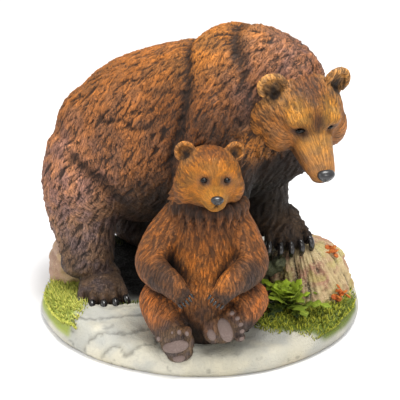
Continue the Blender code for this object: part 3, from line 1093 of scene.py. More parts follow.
def parted(obj: bpy.types.Object, names: tuple[str, str], place: Place, forward: float) -> None:
    """Cuts a piece in two across its length, and closes each half with a flat face.

    Args:
        obj: the piece, which is taken away.
        names: the names of the rear and the front half.
        place: the figure's place.
        forward: where the cut is, in the figure's own millimetres.
    """
    cut = place.out(np.array([forward, 0, 0]))
    for name, keep_rear in zip(names, (True, False)):
        mesh = bmesh.new()
        mesh.from_mesh(obj.data)
        bmesh.ops.bisect_plane(
            mesh,
            geom=[*mesh.verts, *mesh.edges, *mesh.faces],
            plane_co=tuple(cut),
            plane_no=tuple(place.axes[:, 0]),
            clear_outer=keep_rear,
            clear_inner=not keep_rear,
        )
        rim = [edge for edge in mesh.edges if edge.is_boundary]
        for edge in rim:
            edge.smooth = False
        bmesh.ops.holes_fill(mesh, edges=rim)
        data = bpy.data.meshes.new(name)
        mesh.to_mesh(data)
        mesh.free()
        data.materials.append(obj.data.materials[0])
        half = bpy.data.objects.new(name, data)
        bpy.context.scene.collection.objects.link(half)
        mounted(half)
    bpy.data.objects.remove(obj)


@dataclass(frozen=True)
class Coat:
    """What is carved into a furred skin and painted on it.

    The cover is how deep the fur is at points of the figure, 0 to 1; the dabs are soft rises and
    dents, and the grooves are cut lines.
    """

    fur: Fur
    comb: RoundComb | SpineComb
    washes: Sequence[Wash]
    touches: Sequence[Touch]
    cover: Callable[[Array], Array]
    dabs: Sequence[Dab] = ()
    grooves: Sequence[Groove] = ()

    def carve(self, skin: Surface, place: Place) -> tuple[Surface, Array, Array]:
        """Carves a skin and paints it: each point moves along its normal by the sum of all heights.

        Args:
            skin: the plain skin.
            place: the figure's place.

        Returns:
            The carved skin, its paint and its relief.
        """
        own = place.own(skin.points)
        locks = self.fur.relief(own, skin.normals @ place.axes)
        depth = self.cover(own)
        height = self.fur.height * depth * (locks - 0.5)
        tone = painted(own, self.washes, self.touches)
        relief = 1 - depth * (1 - locks)
        for dab in self.dabs:
            height += dab.height * dab.share(own)
        for groove in self.grooves:
            cut = groove.share(own)
            height -= groove.depth * cut
            # Painted shade along the body's creases, and the mouth's dark line
            tone *= 1 - groove.shade_and_stain * cut[:, None]
            relief *= 1 - groove.shade_and_stain * cut
        moved = skin.points + skin.normals * (height * place.unit)[:, None]
        return Surface(moved, skin.faces), tone, relief

    def on(self, skin: Surface, place: Place, name: str, material: bpy.types.Material) -> bpy.types.Object:
        """Makes a shown piece of a skin with this coat on it.

        Args:
            skin: the plain skin.
            place: the figure's place.
            name: the piece's name.
            material: its finish.

        Returns:
            The object, riding on the figurine's body.
        """
        skin, tone, relief = self.carve(skin, place)
        return piece(name, skin, material, tone, relief, self.comb.coordinates(place.own(skin.points)))


# A standing paw's toe and its hooked claw, as sections in shares of the paw's width
PAW_TOE = ((-0.30, 0, 0.15, 0.080, 0.12), (-0.06, 0, 0.10, 0.092, 0.16), (0.12, 0, 0.00, 0.084, 0.130))
PAW_CLAW = (
    (0.02, 0, 0.12, 0.060, 0.055),
    (0.13, 0, 0.13, 0.072, 0.066),
    (0.235, 0, 0.06, 0.066, 0.060),
    (0.275, 0, -0.05, 0.050, 0.046),
    (0.275, 0, -0.16, 0.014, 0.014),
)

# A tuft's shape: the share of its length, and how much of its width it has there
TUFT_SHAPE = ((0.0, 0.6), (0.3, 1.0), (0.65, 0.75), (0.9, 0.3), (1.0, 0.1))


@dataclass(frozen=True)
class Paw:
    """A standing paw: an instep, five toes in an arc, and a hooked claw on each."""

    centre: Triple
    yaw: float
    pitch: float
    length: float
    width: float

    def flesh(self, place: Place) -> list[Surface]:
        """The instep and the toes."""
        foot = place.at(self.centre, self.yaw, self.pitch)
        wide, long = self.width, self.length
        made = [
            ball(foot, (0, 0, 0), (long * 0.5, wide * 0.47, wide * 0.34)),
            ball(foot, (-long * 0.28, 0, wide * 0.05), (long * 0.34, wide * 0.42, wide * 0.38)),
        ]
        for toe in self.toes(foot):
            made.append(tube(toe, wide * np.array(PAW_TOE), count=16))
        return made

    def toes(self, foot: Place) -> list[Place]:
        """The place of each toe, in an arc that falls back to the sides."""
        made = []
        for spread in np.linspace(-1, 1, 5):
            ahead = self.length * (0.46 - 0.11 * spread * spread)
            spot = (ahead, self.width * 0.42 * spread, -self.width * 0.08)
            made.append(foot.at(spot, 14 * spread, 8))
        return made

    def claws(self, place: Place) -> Surface:
        """The claws: a curved, tapering tube on each toe."""
        foot = place.at(self.centre, self.yaw, self.pitch)
        rows = self.width * np.array(PAW_CLAW)
        return Surface.joined([tube(toe, rows, count=12, between=4) for toe in self.toes(foot)])


def ear_flesh(head: Place, centre: Triple, yaw: float, roll: float, radius: float) -> list[Surface]:
    """A round ear: a rim that runs round most of a circle, with a thin hollowed back behind it.

    Args:
        head: the head's place.
        centre: the ear's middle.
        yaw: its turn about up, in degrees.
        roll: its roll, in degrees.
        radius: how far its rim reaches.

    Returns:
        The bodies to fuse.
    """
    ear = head.at(centre, yaw, -8, roll)
    turn = np.radians(np.linspace(-40, 220, 9))
    thick = np.full(9, radius * 0.25)
    rim = np.column_stack([0 * turn, radius * 0.80 * np.cos(turn), radius * 0.80 * np.sin(turn), thick, thick * 0.92])
    return [
        tube(ear, rim, side=(1, 0, 0), count=16),
        ball(ear, (-radius * 0.20, 0, -radius * 0.05), (radius * 0.20, radius * 0.86, radius * 0.86)),
        ball(ear, (-radius * 0.25, 0, -radius * 0.85), (radius * 0.5, radius * 0.8, radius * 0.6)),
    ]


def tuft(place: Place, root: Triple, tip: Triple, width: float, thickness: float) -> Surface:
    """A pointed tuft of fur, widest a third of the way along: a tube whose half sizes follow TUFT_SHAPE.

    Args:
        place: where it is drawn.
        root: where it starts.
        tip: where it ends.
        width: its half width at the widest.
        thickness: its half depth there.

    Returns:
        The tuft.
    """
    start, stop = np.array(root, float), np.array(tip, float)
    rows = [(*(start + (stop - start) * share), width * part, thickness * part) for share, part in TUFT_SHAPE]
    return tube(place, rows, count=14, between=4, dome=0.3)


@dataclass
class Mother:
    """The standing bear: her body in two pieces, head, claws, eyes and nose.

    Each chest tuft is given by its place forward and by the height at which it ends.
    """

    effects: Effects
    place: Place = field(default_factory=lambda: Place.figure(MOTHER_SPOT, MOTHER_YAW, MOTHER_HEIGHT / MOTHER_DRAWN))
    voxel: float = 0.00093
    head_voxel: float = 0.00058
    smoothing: int = 28
    head_smoothing: int = 26
    cut_forward: float = 16.0
    torso: tuple[Section, ...] = (
        (-84, 0, 76, 9, 12),
        (-77, 0, 80, 24, 29),
        (-65, 0, 86, 36, 43),
        (-45, 0, 93, 46, 54),
        (-15, 0, 101, 48, 60),
        (6, 0, 108, 44, 60),
        (20, 0, 114, 41, 59),
        (33, 1, 122.5, 41, 59.5),
        (50, 4, 127.5, 38, 58.5),
        (64, 8, 129, 36, 54.5),
        (78, 10, 131, 31, 48),
        (89, 8, 134, 25, 41),
    )
    legs: tuple[tuple[Section, ...], ...] = (
        (
            (-45, -24.5, 92, 25.5, 33),
            (-46, -32.5, 70, 24.5, 32),
            (-46.5, -36.5, 50, 20, 26.5),
            (-42, -40, 32, 17, 20),
            (-38, -45, 18, 17, 18),
        ),
        (
            (-48, 23.5, 92, 24, 34),
            (-47, 31, 66, 23, 30),
            (-56, 33, 46, 20, 30),
            (-59, 33, 26, 18, 23),
            (-51, 33, 12, 17, 18),
        ),
        (
            (44, -20, 118, 20, 34),
            (46, -24, 88, 18, 26),
            (47, -25, 62, 16, 19),
            (48, -25, 36, 14, 15),
            (50, -25, 14, 15, 15),
        ),
        (
            (46, 22, 116, 20, 34),
            (53, 23, 92, 18, 24),
            (56, 24, 74, 15, 17),
            (58, 25, 58, 14, 15),
            (64, 27, 46, 15, 13),
        ),
    )
    paws: tuple[Paw, ...] = (
        Paw((-23, -50, 8), -50, 6, 31, 33),
        Paw((-41, 33, 8), 8, 4, 34, 34),
        Paw((58, -25, 7), -6, 4, 30, 34),
        Paw((71, 25, 45), -42, 24, 25, 31),
    )
    chest_tufts: tuple[tuple[float, float], ...] = ((66, 122), (70, 117), (74, 113), (78, 111), (82, 112), (86, 115))
    fur: Fur = Fur(crown=(300, 0, 520), spacing=4.4, length=13.0, width=4.6, height=2.1, strands=3.0)
    comb: SpineComb = SpineComb(
        middle=108, half=(46, 62), slant=0.22, rump=50, knee=50, flank=42, width=1.0, length=7.5
    )
    head_fur: Fur = Fur(crown=(52, 0, 2), spacing=3.2, length=8.0, width=2.9, height=0.7, sway=0.3, salt=11)
    head_comb: RoundComb = RoundComb((0, 0, 0), (25, 25, 22), (1, 0, -0.15), 0.8, 5.5)
    washes: tuple[Wash, ...] = (
        Wash((-60, 0, 140), 30, (172, 108, 46)),
        Wash((-15, 0, 165), 35, (168, 107, 52)),
        Wash((40, 0, 182), 28, (182, 119, 52)),
        Wash((78, 8, 165), 24, (142, 100, 80)),
        Wash((-80, 20, 110), 24, (162, 106, 58)),
        Wash((-15, 46, 120), 26, (160, 105, 63)),
        Wash((-50, 50, 85), 24, (192, 137, 109)),
        Wash((-36, 40, 52), 22, (146, 117, 103)),
        Wash((-36, 40, 22), 20, (92, 75, 66)),
        Wash((0, 30, 62), 22, (58, 40, 25)),
        # Painted shade under the belly, between the legs
        Wash((0, 0, 45), 30, (22, 16, 11)),
        Wash((38, 42, 130), 24, (118, 73, 38)),
        Wash((62, 42, 120), 20, (80, 51, 29)),
        Wash((48, 25, 60), 24, (46, 37, 27)),
        Wash((60, 25, 20), 24, (48, 38, 29)),
    )
    touches: tuple[Touch, ...] = (
        # Painted shade: the next three touches, on the chest under the head, behind the ruff on both sides, and round
        # the near foreleg behind the cub
        Touch((84, 0, 116), (19, 34, 28), (20, 14, 10), 0.92),
        Touch((75, 41, 136), (9, 12, 24), (18, 13, 9), 0.92),
        Touch((60, -20, 70), (30, 30, 35), (13, 10, 8), 0.92, False),
        Touch((77, -24, 120), (11, 8, 9), (164, 108, 50), 0.9, False),
        Touch((71, 25, 45), (16, 16, 12), (74, 58, 46), 0.7, False),
        Touch((-23, -50, 6), (20, 20, 9), (60, 49, 43), 0.8, False),
        # Painted shade: the next two touches, on the far hind leg and on the inner side of the near hind leg under the
        # belly
        Touch((-44, 33, 40), (26, 20, 44), (24, 18, 13), 0.95, False),
        Touch((-30, -30, 40), (14, 12, 40), (40, 30, 22), 0.6, False),
    )
    # Cuts at the neck and shoulder, behind the ruff, at the thigh and between rows of locks on the flank; their
    # darkening is painted shade
    creases: tuple[Groove, ...] = (
        Groove(((16, 0, 174), (30, 30, 164), (34, 42, 150), (33, 46, 130), (24, 46, 100)), 3.4, 2.6, 0.62, 0.2),
        Groove(((49, 0, 186), (63, 32, 166), (71.5, 40, 150), (78, 42, 131)), 4.0, 2.6, 0.66, 0.2),
        Groove(((-43, 52, 96), (-22, 54, 84), (-11, 52, 68), (-11, 46, 53)), 4.0, 2.4, 0.62, 0.2),
        Groove(((-28, 46, 128), (-20, 46, 123), (-8, 47, 127), (2, 47, 122), (14, 46, 126)), 1.5, 1.5, 0.5, 0.2),
        Groove(((-24, 40, 150), (-14, 42, 145), (-4, 42, 149), (6, 42, 143), (18, 40, 147)), 1.5, 1.4, 0.5, 0.2),
    )
    head_masses: tuple[tuple[Triple, Triple], ...] = (
        ((-3, 0, 2), (26, 25, 21.5)),
        ((9, 0, 7), (15, 16, 14)),
        ((12, 10, 9), (9, 8, 8)),
        ((4, 15, -5), (15, 12, 14)),
        ((-4, 18.8, -8), (11, 11, 19)),
    )
    muzzle: tuple[Section, ...] = (
        (12, 0, 0, 14.5, 13.5),
        (20, 0, -2, 12.0, 11.5),
        (29, 0, -4.2, 10.0, 10.0),
        (37, 0, -6.4, 8.6, 8.8),
        (42.5, 0, -8.0, 7.4, 7.6),
    )
    jaw: tuple[Section, ...] = ((12, 0, -11, 11, 8), (25, 0, -12.5, 8.5, 6), (35, 0, -13, 6.5, 4.5))
    mouth: Groove = Groove(((44.5, 0.5, -12.0), (38, 6.0, -13), (28, 9.5, -13.5), (19, 11.5, -13)), 0.9, 1.3)
    head_dabs: tuple[Dab, ...] = (
        Dab(BEAR_EYE, (3.4, 3.6, 2.6), -2.0),
        Dab((18, 9.6, 12.0), (5, 6, 2.4), 1.5),
        Dab((22, 9.6, 4.2), (4, 4.5, 1.6), 0.6),
        Dab((18, 0, 12), (8, 3.2, 8), -1.0),
        Dab((46, 0, -8.5), (3, 0.8, 3), -0.8),
    )
    head_washes: tuple[Wash, ...] = (
        Wash((-4, 0, 23), 13, (126, 80, 44)),
        Wash((12, 9, 17), 7, (150, 104, 32)),
        Wash((30, 0, 6), 8, (176, 126, 58)),
        Wash((40, 4, 1), 7, (166, 120, 72)),
        Wash((36, 9, -8), 7, (156, 108, 62)),
        Wash((30, 0, -18), 9, (84, 58, 38)),
        Wash((10, 18, 2), 9, (150, 100, 52)),
        Wash((0, 24, -6), 10, (164, 108, 50)),
        Wash((-4, 24, -24), 13, (172, 114, 52)),
        Wash((-22, 10, 0), 14, (84, 56, 34)),
        Wash((-6, 21, 21), 9, (206, 154, 92)),
    )
    head_touches: tuple[Touch, ...] = (
        Touch((20.5, -9.8, 7.4), (5.5, 6.0, 3.4), (60, 44, 40), 0.9, False),
        Touch((20.5, 9.8, 7.4), (4.5, 4.5, 2.6), (96, 68, 50), 0.8, False),
        Touch((18, 0, 12), (8, 4.6, 7), (62, 36, 20), 0.92, False),
        Touch((4, 0, 21), (9, 5.5, 5), (100, 62, 34), 0.6, False),
        Touch((14, 10.5, 15), (6, 5, 4.0), (180, 128, 54), 0.6),
        Touch((-2.5, 20.5, 17.5), (5, 5.2, 5.4), (16, 11, 7), 0.97),
        Touch((43, 0, -12), (6, 6, 2.2), (76, 56, 38), 0.7),
        # Painted shade in the gap between the ruff and the jaw, on both sides
        Touch((14, 13.5, -12), (7, 5, 6), (62, 40, 24), 0.75),
    )

    def head_place(self) -> Place:
        """The head, turned to the front and a little down."""
        return self.place.at((95.5, -2.3, 138), -42, 24)

    def body(self) -> None:
        """The body in two pieces, cut behind the shoulder, with its paws."""
        parts = [tube(self.place, self.torso, across=(1, 0, 0), count=48)]
        parts += [tube(self.place, leg) for leg in self.legs]
        for hand in SIDES:
            hip, shoulder = (-45, 19 * hand, 98), (48, 17 * hand, 118)
            parts.append(ball(self.place, hip, (30, 26, 38)))
            parts.append(ball(self.place, shoulder, (20, 29, 44), pitch=-8))
        tail = (-79, 5, 88)
        parts.append(ball(self.place, tail, (7, 6, 12), pitch=-24))
        parts = [fused(parts, self.voxel, self.smoothing)]
        for forward, drop in self.chest_tufts:
            aside = -28 + 0.5 * (forward - self.chest_tufts[0][0])
            parts.append(tuft(self.place, (forward, aside + 4, 132), (forward + 1, aside - 2, drop), 4.0, 3.4))
        for paw in self.paws:
            parts += paw.flesh(self.place)
        skin = fused(parts, self.voxel, CRISP)
        coat = Coat(self.fur, self.comb, self.washes, self.touches, self.body_cover, grooves=self.creases)
        whole = coat.on(skin, self.place, "bear_body", FurPaint("bear body fur").material(self.effects))
        parted(whole, ("bear_body_rear", "bear_body_front"), self.place, self.cut_forward)

    @staticmethod
    def body_cover(own: Array) -> Array:
        """How deep the fur is at each place: full on the body, and shallow on the paws."""
        return 0.25 + 0.75 * ease(own[:, 2], 8, 26)

    @staticmethod
    def head_cover(own: Array) -> Array:
        """How deep the fur is on the head: shallow on the muzzle and round the eyes, full from the cheeks back."""
        back = ease(-own[:, 0], -28, -4)
        eye = 1 - Dab(BEAR_EYE, (5, 5, 4), 1).share(own)
        return (0.12 + 0.88 * back) * eye

    def ruff(self, head: Place) -> list[Surface]:
        """Tufts in two fans round the cheeks, pointing back and out, and locks that hang below them.

        Args:
            head: the head's place.

        Returns:
            The tufts to fuse.
        """
        made = []
        for hand in SIDES:
            reach = 1.0 if hand < 0 else 0.93
            for step in range(7):
                aside = (9.5 + 2.7 * step) * hand
                drop = (42, 44, 42, 39, 35, 30, 24)[step] * (1.0 if hand < 0 else 0.74)
                root = (5, aside * 0.85 * reach, -12)
                made.append(tuft(head, root, (3 - 1.2 * step, (aside + 2.5 * hand) * reach, -drop), 4.2, 3.6))
            for layer, count in ((0, 8), (1, 7)):
                for turn in np.radians(np.linspace(-75, 62, count) + 8 * layer):
                    back = -2 - 5 * layer
                    near = (17 + 2 * layer, 19 + layer)
                    far = (24 + 3.2 * layer, 30 + 2.5 * layer)
                    aside = hand * reach * math.cos(turn)
                    root = (back + 5, near[0] * aside - 2.2, -8 + near[1] * math.sin(turn))
                    tip = (back - 7, far[0] * 1.16 * aside - 2.2, -9 + far[1] * math.sin(turn))
                    made.append(tuft(head, root, tip, 4.6, 3.2))
        return made

    @staticmethod
    def lean_of(forward: float) -> float:
        """How far the back of the head's flesh lies towards its right, in the head's own millimetres."""
        return -2.2 if forward < -3.5 else 0.0

    def head(self) -> None:
        """The head with its ears and ruff, and its eyes and nose."""
        head = self.head_place()
        parts = []
        for centre, radii in self.head_masses:
            for hand in SIDES if centre[1] else (1,):
                parts.append(ball(head, (centre[0], centre[1] * hand + self.lean_of(centre[0]), centre[2]), radii))
        parts += [tube(head, self.muzzle), tube(head, self.jaw)]
        parts = [fused(parts, self.head_voxel, self.head_smoothing), *self.ruff(head)]
        for hand in SIDES:
            parts += ear_flesh(head, (-6, 20.0 * hand, 18.8), 14 * hand, -16 * hand, 9.2)
        skin = fused(parts, self.head_voxel, CRISP)
        finish = FurPaint("bear head fur", wash=0.75, bump=0.8, crease=0.006, sway=1.4, patches=0.006)
        paint = (self.head_washes, self.head_touches)
        coat = Coat(self.head_fur, self.head_comb, *paint, self.head_cover, self.head_dabs, (self.mouth,))
        coat.on(skin, head, "bear_head", finish.material(self.effects))
        near_eye = ball(head, (20.0, -9.2, 7.4), (1.9, 3.0, 1.5), roll=10)
        eyes = Surface.joined([near_eye, ball(head, (19.0, 8.8, 7.3), (1.8, 2.4, 1.3), roll=-10)])
        piece("bear_eyes", eyes, EYE.material(self.effects))
        piece("bear_nose", nose_pad(head, (46.0, 0, -4.6), (3.8, 5.2, 3.8)), NOSE.material(self.effects))

    def claws(self) -> None:
        """All the claws as one piece."""
        claws = Surface.joined([paw.claws(self.place) for paw in self.paws])
        piece("bear_claws", claws, CLAW.material(self.effects))

    def build(self) -> None:
        """Builds every piece of the bear."""
        self.body()
        self.head()
        self.claws()


def nose_pad(head: Place, centre: Triple, radii: Triple) -> Surface:
    """A nose: an ellipsoid flattened in front, with a dent for each nostril and a split below.

    Args:
        head: the head's place.
        centre: its middle.
        radii: its half sizes.

    Returns:
        The nose.
    """
    skin = ball(WHOLE, (0, 0, 0), (1, 1, 1), count=64)
    own = skin.points.copy()
    nostril = Dab((0.78, 0.46, -0.15), (0.34, 0.24, 0.26), 1).share(own)
    split = np.exp(-((own[:, 1] / 0.09) ** 2)) * ease(-own[:, 2], 0.0, 0.5)
    own *= (1 - 0.32 * nostril - 0.10 * split)[:, None]
    own[:, 1] *= 1 + 0.18 * own[:, 2]
    return Surface(head.out(np.asarray(centre) + own * np.asarray(radii)), skin.faces)


@dataclass(frozen=True)
class Sole:
    """An upturned foot: its sole faces forward in its place, its toes point up, turned by spin."""

    centre: Triple
    yaw: float
    pitch: float
    spin: float
    length: float
    width: float

    def foot(self, place: Place) -> Place:
        """The foot's own place."""
        return place.at(self.centre, self.yaw, self.pitch, self.spin)

    def toe_spots(self) -> list[Triple]:
        """The middle of each toe, in the foot's place."""
        return [
            (self.width * 0.1, self.width * 0.38 * spread, self.length * (0.40 - 0.10 * spread * spread))
            for spread in np.linspace(-1, 1, 5)
        ]

    def flesh(self, place: Place) -> list[Surface]:
        """The foot's body, its heel and its toes."""
        foot, wide, long = self.foot(place), self.width, self.length
        made = [
            ball(foot, (-wide * 0.1, 0, 0), (wide * 0.40, wide * 0.46, long * 0.42)),
            ball(foot, (-wide * 0.1, 0, -long * 0.30), (wide * 0.34, wide * 0.36, long * 0.22)),
        ]
        made += [ball(foot, spot, (wide * 0.19, wide * 0.115, wide * 0.15), count=20) for spot in self.toe_spots()]
        return made

    def pads(self, place: Place) -> Surface:
        """The large pad, the heel pad and a pad on each toe, standing a little proud."""
        foot, wide, long = self.foot(place), self.width, self.length
        made = [
            ball(foot, (wide * 0.22, 0, long * 0.02), (wide * 0.13, wide * 0.35, long * 0.17)),
            ball(foot, (wide * 0.17, 0, -long * 0.32), (wide * 0.10, wide * 0.17, long * 0.11)),
        ]
        toe_pad = (wide * 0.065, wide * 0.062, wide * 0.075)
        for x, y, z in self.toe_spots():
            made.append(ball(foot, (x + wide * 0.13, y, z + long * 0.01), toe_pad, count=16))
        return Surface.joined(made)


@dataclass
class Cub:
    """The seated cub: body, head, claws, sole pads, eyes and nose."""

    effects: Effects
    place: Place = field(default_factory=lambda: Place.figure(CUB_SPOT, CUB_YAW, CUB_HEIGHT / CUB_DRAWN))
    voxel: float = 0.00066
    head_voxel: float = 0.00053
    smoothing: int = 8
    head_smoothing: int = 18
    torso: tuple[Section, ...] = (
        (0, -1, 2, 24, 20),
        (2, -1, 18, 25, 23),
        (2, -1, 36, 24, 23),
        (1, -1, 52, 23, 22),
        (-1, -1, 66, 23, 20),
        (-2, -1, 78, 22, 18),
        (0, -1, 92, 21, 18),
    )
    limbs: tuple[tuple[Section, ...], ...] = (
        (
            (-2, -16, 78, 11, 11),
            (3, -27, 66, 10.5, 11),
            (10, -33.5, 53, 10, 11.5),
            (21, -29, 50, 9, 10),
            (29, -22, 48.5, 8, 8.6),
            (32, -17, 44.5, 6.8, 7),
        ),
        (
            (-2, 15, 77, 11, 11),
            (3, 22.5, 65, 10.5, 11),
            (10, 28, 52.5, 9.8, 11.5),
            (21, 22.5, 50, 9, 10),
            (29, 15, 48.5, 8, 8.6),
            (32, 10, 44, 6.8, 7),
        ),
        ((2, -18, 16, 15, 15), (13, -28.5, 28, 13, 13), (23, -26, 20, 10.5, 11), (27, -20, 12, 9.5, 10)),
        ((2, 17, 16, 15, 15), (12, 26, 28, 12.5, 12.5), (18, 22, 20, 9.5, 10), (20, 16, 16, 8.5, 9)),
    )
    wrists: tuple[tuple[Triple, Triple], ...] = (
        ((29, -22, 49.5), (33, -15.5, 43)),
        ((29, 15, 49.5), (33, 8.5, 42.5)),
    )
    soles: tuple[Sole, ...] = (Sole((30.5, -18, 7.5), -6, -8, 14, 24, 23), Sole((26, 10, 16), 8, -12, -72, 25, 23))
    fur: Fur = Fur(crown=(4, 0, 150), spacing=3.0, length=7.0, width=2.6, height=0.4, salt=23)
    comb: RoundComb = RoundComb((2, 0, 45), (25, 28, 50), (0, 0, 1), 0.55, 2.2)
    head_fur: Fur = Fur(crown=(34, 0, 0), spacing=2.6, length=5.0, width=2.0, height=0.3, sway=0.3, salt=31)
    head_comb: RoundComb = RoundComb((0, 0, 0), (20, 20, 19), (1, 0, -0.15), 0.50, 2.4)
    washes: tuple[Wash, ...] = (
        Wash((24, 0, 50), 17, (194, 120, 50)),
        Wash((22, 0, 72), 12, (140, 86, 42)),
        Wash((2, 34, 64), 12, (158, 98, 46)),
        Wash((8, 36, 50), 9, (116, 76, 46)),
        Wash((26, 22, 48), 9, (66, 48, 36)),
        Wash((33, 12, 38), 8, (62, 47, 37)),
        Wash((16, 38, 28), 12, (196, 118, 56)),
        Wash((22, 30, 12), 10, (60, 45, 35)),
        Wash((28, 20, 6), 11, (50, 40, 33)),
        Wash((-22, 0, 50), 26, (120, 78, 46)),
        Wash((0, 0, 95), 14, (84, 56, 34)),
    )
    touches: tuple[Touch, ...] = (
        Touch((18, 0, 24), (14, 10, 9), (66, 44, 28), 0.8),
        Touch((26, 24, 50), (10, 9, 9), (76, 56, 43), 0.85),
        Touch((33, 12, 42), (6, 8, 6), (54, 42, 34), 0.8),
        Touch((27, 22, 12), (9, 10, 8), (60, 47, 38), 0.75),
        Touch((17, 0, 90), (13, 18, 4.5), (52, 34, 23), 0.75),
        Touch((34, -18, 8), (7, 13, 14), (98, 82, 72), 0.6, False),
        Touch((30, 10, 16), (7, 14, 13), (98, 82, 72), 0.6, False),
    )
    head_washes: tuple[Wash, ...] = (
        Wash((0, 0, 20), 9, (132, 80, 36)),
        Wash((14, 0, 9), 8, (164, 104, 26)),
        Wash((22, 0, -2), 7, (168, 114, 36)),
        Wash((10, 15, 0), 8, (158, 100, 22)),
        Wash((4, 20, -12), 9, (146, 92, 44)),
        Wash((-16, 0, 0), 12, (112, 72, 42)),
        Wash((8, 0, -18), 8, (96, 62, 36)),
        Wash((-4, 15.5, 17), 7, (190, 130, 66)),
    )
    head_touches: tuple[Touch, ...] = (
        Touch(CUB_EYE, (3.4, 3.8, 2.8), (72, 56, 50), 0.85),
        Touch((19, -2, 13), (3, 3, 4), (150, 102, 58), 0.5, False),
        Touch((-1.5, 15.0, 13.8), (3.5, 3.4, 3.4), (30, 21, 14), 0.95),
    )
    head_dabs: tuple[Dab, ...] = (
        Dab((17.8, 6.6, 5.5), (2.8, 2.8, 2.6), -1.1),
        Dab((16, 6.8, 9.6), (4, 4, 1.8), 0.6),
    )
    mouth: Groove = Groove(((26, 0.2, -6.5), (23.5, 2.6, -9.6), (18, 6.2, -10)), 0.7, 0.9)

    def head_place(self) -> Place:
        """The head, turned a little to its left and tilted."""
        return self.place.at((5, 1.2, 106.5), 11, 2, -5)

    def body(self) -> None:
        """The body with its limbs, its feet and a fringe of tufts round the neck."""
        parts = [tube(self.place, self.torso, across=(0, 0, 1), count=48)]
        parts += [tube(self.place, limb) for limb in self.limbs]
        parts = [fused(parts, self.voxel, self.smoothing)]
        for sole in self.soles:
            parts += sole.flesh(self.place)
        for turn in np.radians(np.linspace(-78, 78, 11)):
            front, aside = math.cos(turn), math.sin(turn)
            for depth, drop in ((15.0, 76), (17.0, 82)):
                root = (depth * front, 2 + (depth + 3) * aside, 93)
                parts.append(tuft(self.place, root, ((depth + 5.5) * front, 1 + (depth + 7) * aside, drop), 3.2, 2.4))
        parts += self.fingers()
        skin = fused(parts, self.voxel, CRISP)
        finish = FurPaint("cub body fur", wash=0.7, crease=0.008, sway=2.0, patches=0.006)
        coat = Coat(self.fur, self.comb, self.washes, self.touches, self.body_cover)
        coat.on(skin, self.place, "cub_body", finish.material(self.effects))

    def finger_spots(self) -> list[tuple[Array, Array, float]]:
        """The root, the way and the reach of each of the five short toes at the end of each arm."""
        made = []
        for elbow, wrist in self.wrists:
            run = np.array(wrist, float) - np.array(elbow, float)
            run /= np.linalg.norm(run)
            aside = np.cross(run, np.array([1.0, 0, 0]))
            aside /= np.linalg.norm(aside)
            for spread in np.linspace(-1, 1, 5):
                made.append((np.array(wrist, float) + aside * 5.0 * spread, run, 6 - spread * spread))
        return made

    def fingers(self) -> list[Surface]:
        """The toes' flesh."""
        return [
            tuft(self.place, tuple(root - run * 3), tuple(root + run * reach), 1.6, 2.4)
            for root, run, reach in self.finger_spots()
        ]

    def claws(self) -> None:
        """A short dark claw beyond each toe of the arms."""
        made = []
        for root, run, reach in self.finger_spots():
            tip = root + run * (reach + 2.2)
            made.append(tuft(self.place, tuple(root + run * (reach - 1.6)), tuple(tip), 0.9, 1.1))
        piece("cub_claws", Surface.joined(made), CLAW.material(self.effects))

    @staticmethod
    def body_cover(own: Array) -> Array:
        """How deep the fur is: shallow on the soles at the front, full elsewhere."""
        sole = ease(own[:, 0], 26, 31) * (1 - ease(own[:, 2], 24, 30))
        return 1 - 0.85 * sole

    @staticmethod
    def head_cover(own: Array) -> Array:
        """How deep the fur is on the head: shallow on the muzzle and round the eyes."""
        back = ease(-own[:, 0], -21, -8)
        eye = 1 - Dab(CUB_EYE, (4, 4, 4), 1).share(own)
        return (0.15 + 0.85 * back) * eye

    def head(self) -> None:
        """The head with its ears, eyes and nose."""
        head = self.head_place()
        parts = [ball(head, (0, 0, 0), (20, 19.5, 19)), ball(head, (8, 0, 3), (11, 14, 10))]
        for hand in SIDES:
            parts.append(ball(head, (2, 13 * hand, -5), (12, 8.5, 10)))
            parts.append(ball(head, (-4, 12 * hand, -13), (11, 9, 9)))
        parts.append(tube(head, ((8, 0, -3, 11, 10), (17, 0, -4.5, 8.5, 8), (22.5, 0, -5.5, 6.8, 6.8))))
        parts = [fused(parts, self.head_voxel, self.head_smoothing)]
        for hand in SIDES:
            parts += ear_flesh(head, (-4, 15.0 * hand, 14.4), 8 * hand, -20 * hand, 6.3)
            for turn in np.radians(np.linspace(-88, 10, 7)):
                root = (0, 13.5 * math.cos(turn) * hand, -8 + 12 * math.sin(turn))
                tip = (-3, 23.5 * math.cos(turn) * hand, -15 + 13 * math.sin(turn))
                parts.append(tuft(head, root, tip, 3.0, 2.4))
        skin = fused(parts, self.head_voxel, CRISP)
        finish = FurPaint("cub head fur", wash=0.6, bump=0.7, crease=0.005, sway=1.4, patches=0.005)
        paint = (self.head_washes, self.head_touches)
        coat = Coat(self.head_fur, self.head_comb, *paint, self.head_cover, self.head_dabs, (self.mouth,))
        coat.on(skin, head, "cub_head", finish.material(self.effects))
        eyes = Surface.joined([ball(head, (16.6, 6.7 * hand, 5.6), (1.7, 2.1, 1.6)) for hand in SIDES])
        piece("cub_eyes", eyes, EYE.material(self.effects))
        piece("cub_nose", nose_pad(head, (25.8, 0, -2.9), (2.9, 3.7, 2.7)), NOSE.material(self.effects))

    def build(self) -> None:
        """Builds every piece of the cub."""
        self.body()
        self.head()
        self.claws()
        pads = Surface.joined([sole.pads(self.place) for sole in self.soles])
        piece("cub_pads", pads, PAD.material(self.effects), SOLE_SKIN, 1.0)


def drum(share: Array, count: int, rise: float) -> tuple[Array, Array]:
    """A drum of radius 1 on which an upright body's patterns are read: (cos a, sin a, rise * share).

    Args:
        share: each ring's share of the height.
        count: points round a ring.
        rise: the drum's height.

    Returns:
        The angle of each point of a ring, shape (count,), and all points, shape (rings * count, 3).
    """
    turn = np.linspace(0, 2 * np.pi, count, endpoint=False)
    height, angle = np.meshgrid(rise * share, turn, indexing="ij")
    return turn, np.stack([np.cos(angle), np.sin(angle), height], -1).reshape(-1, 3)


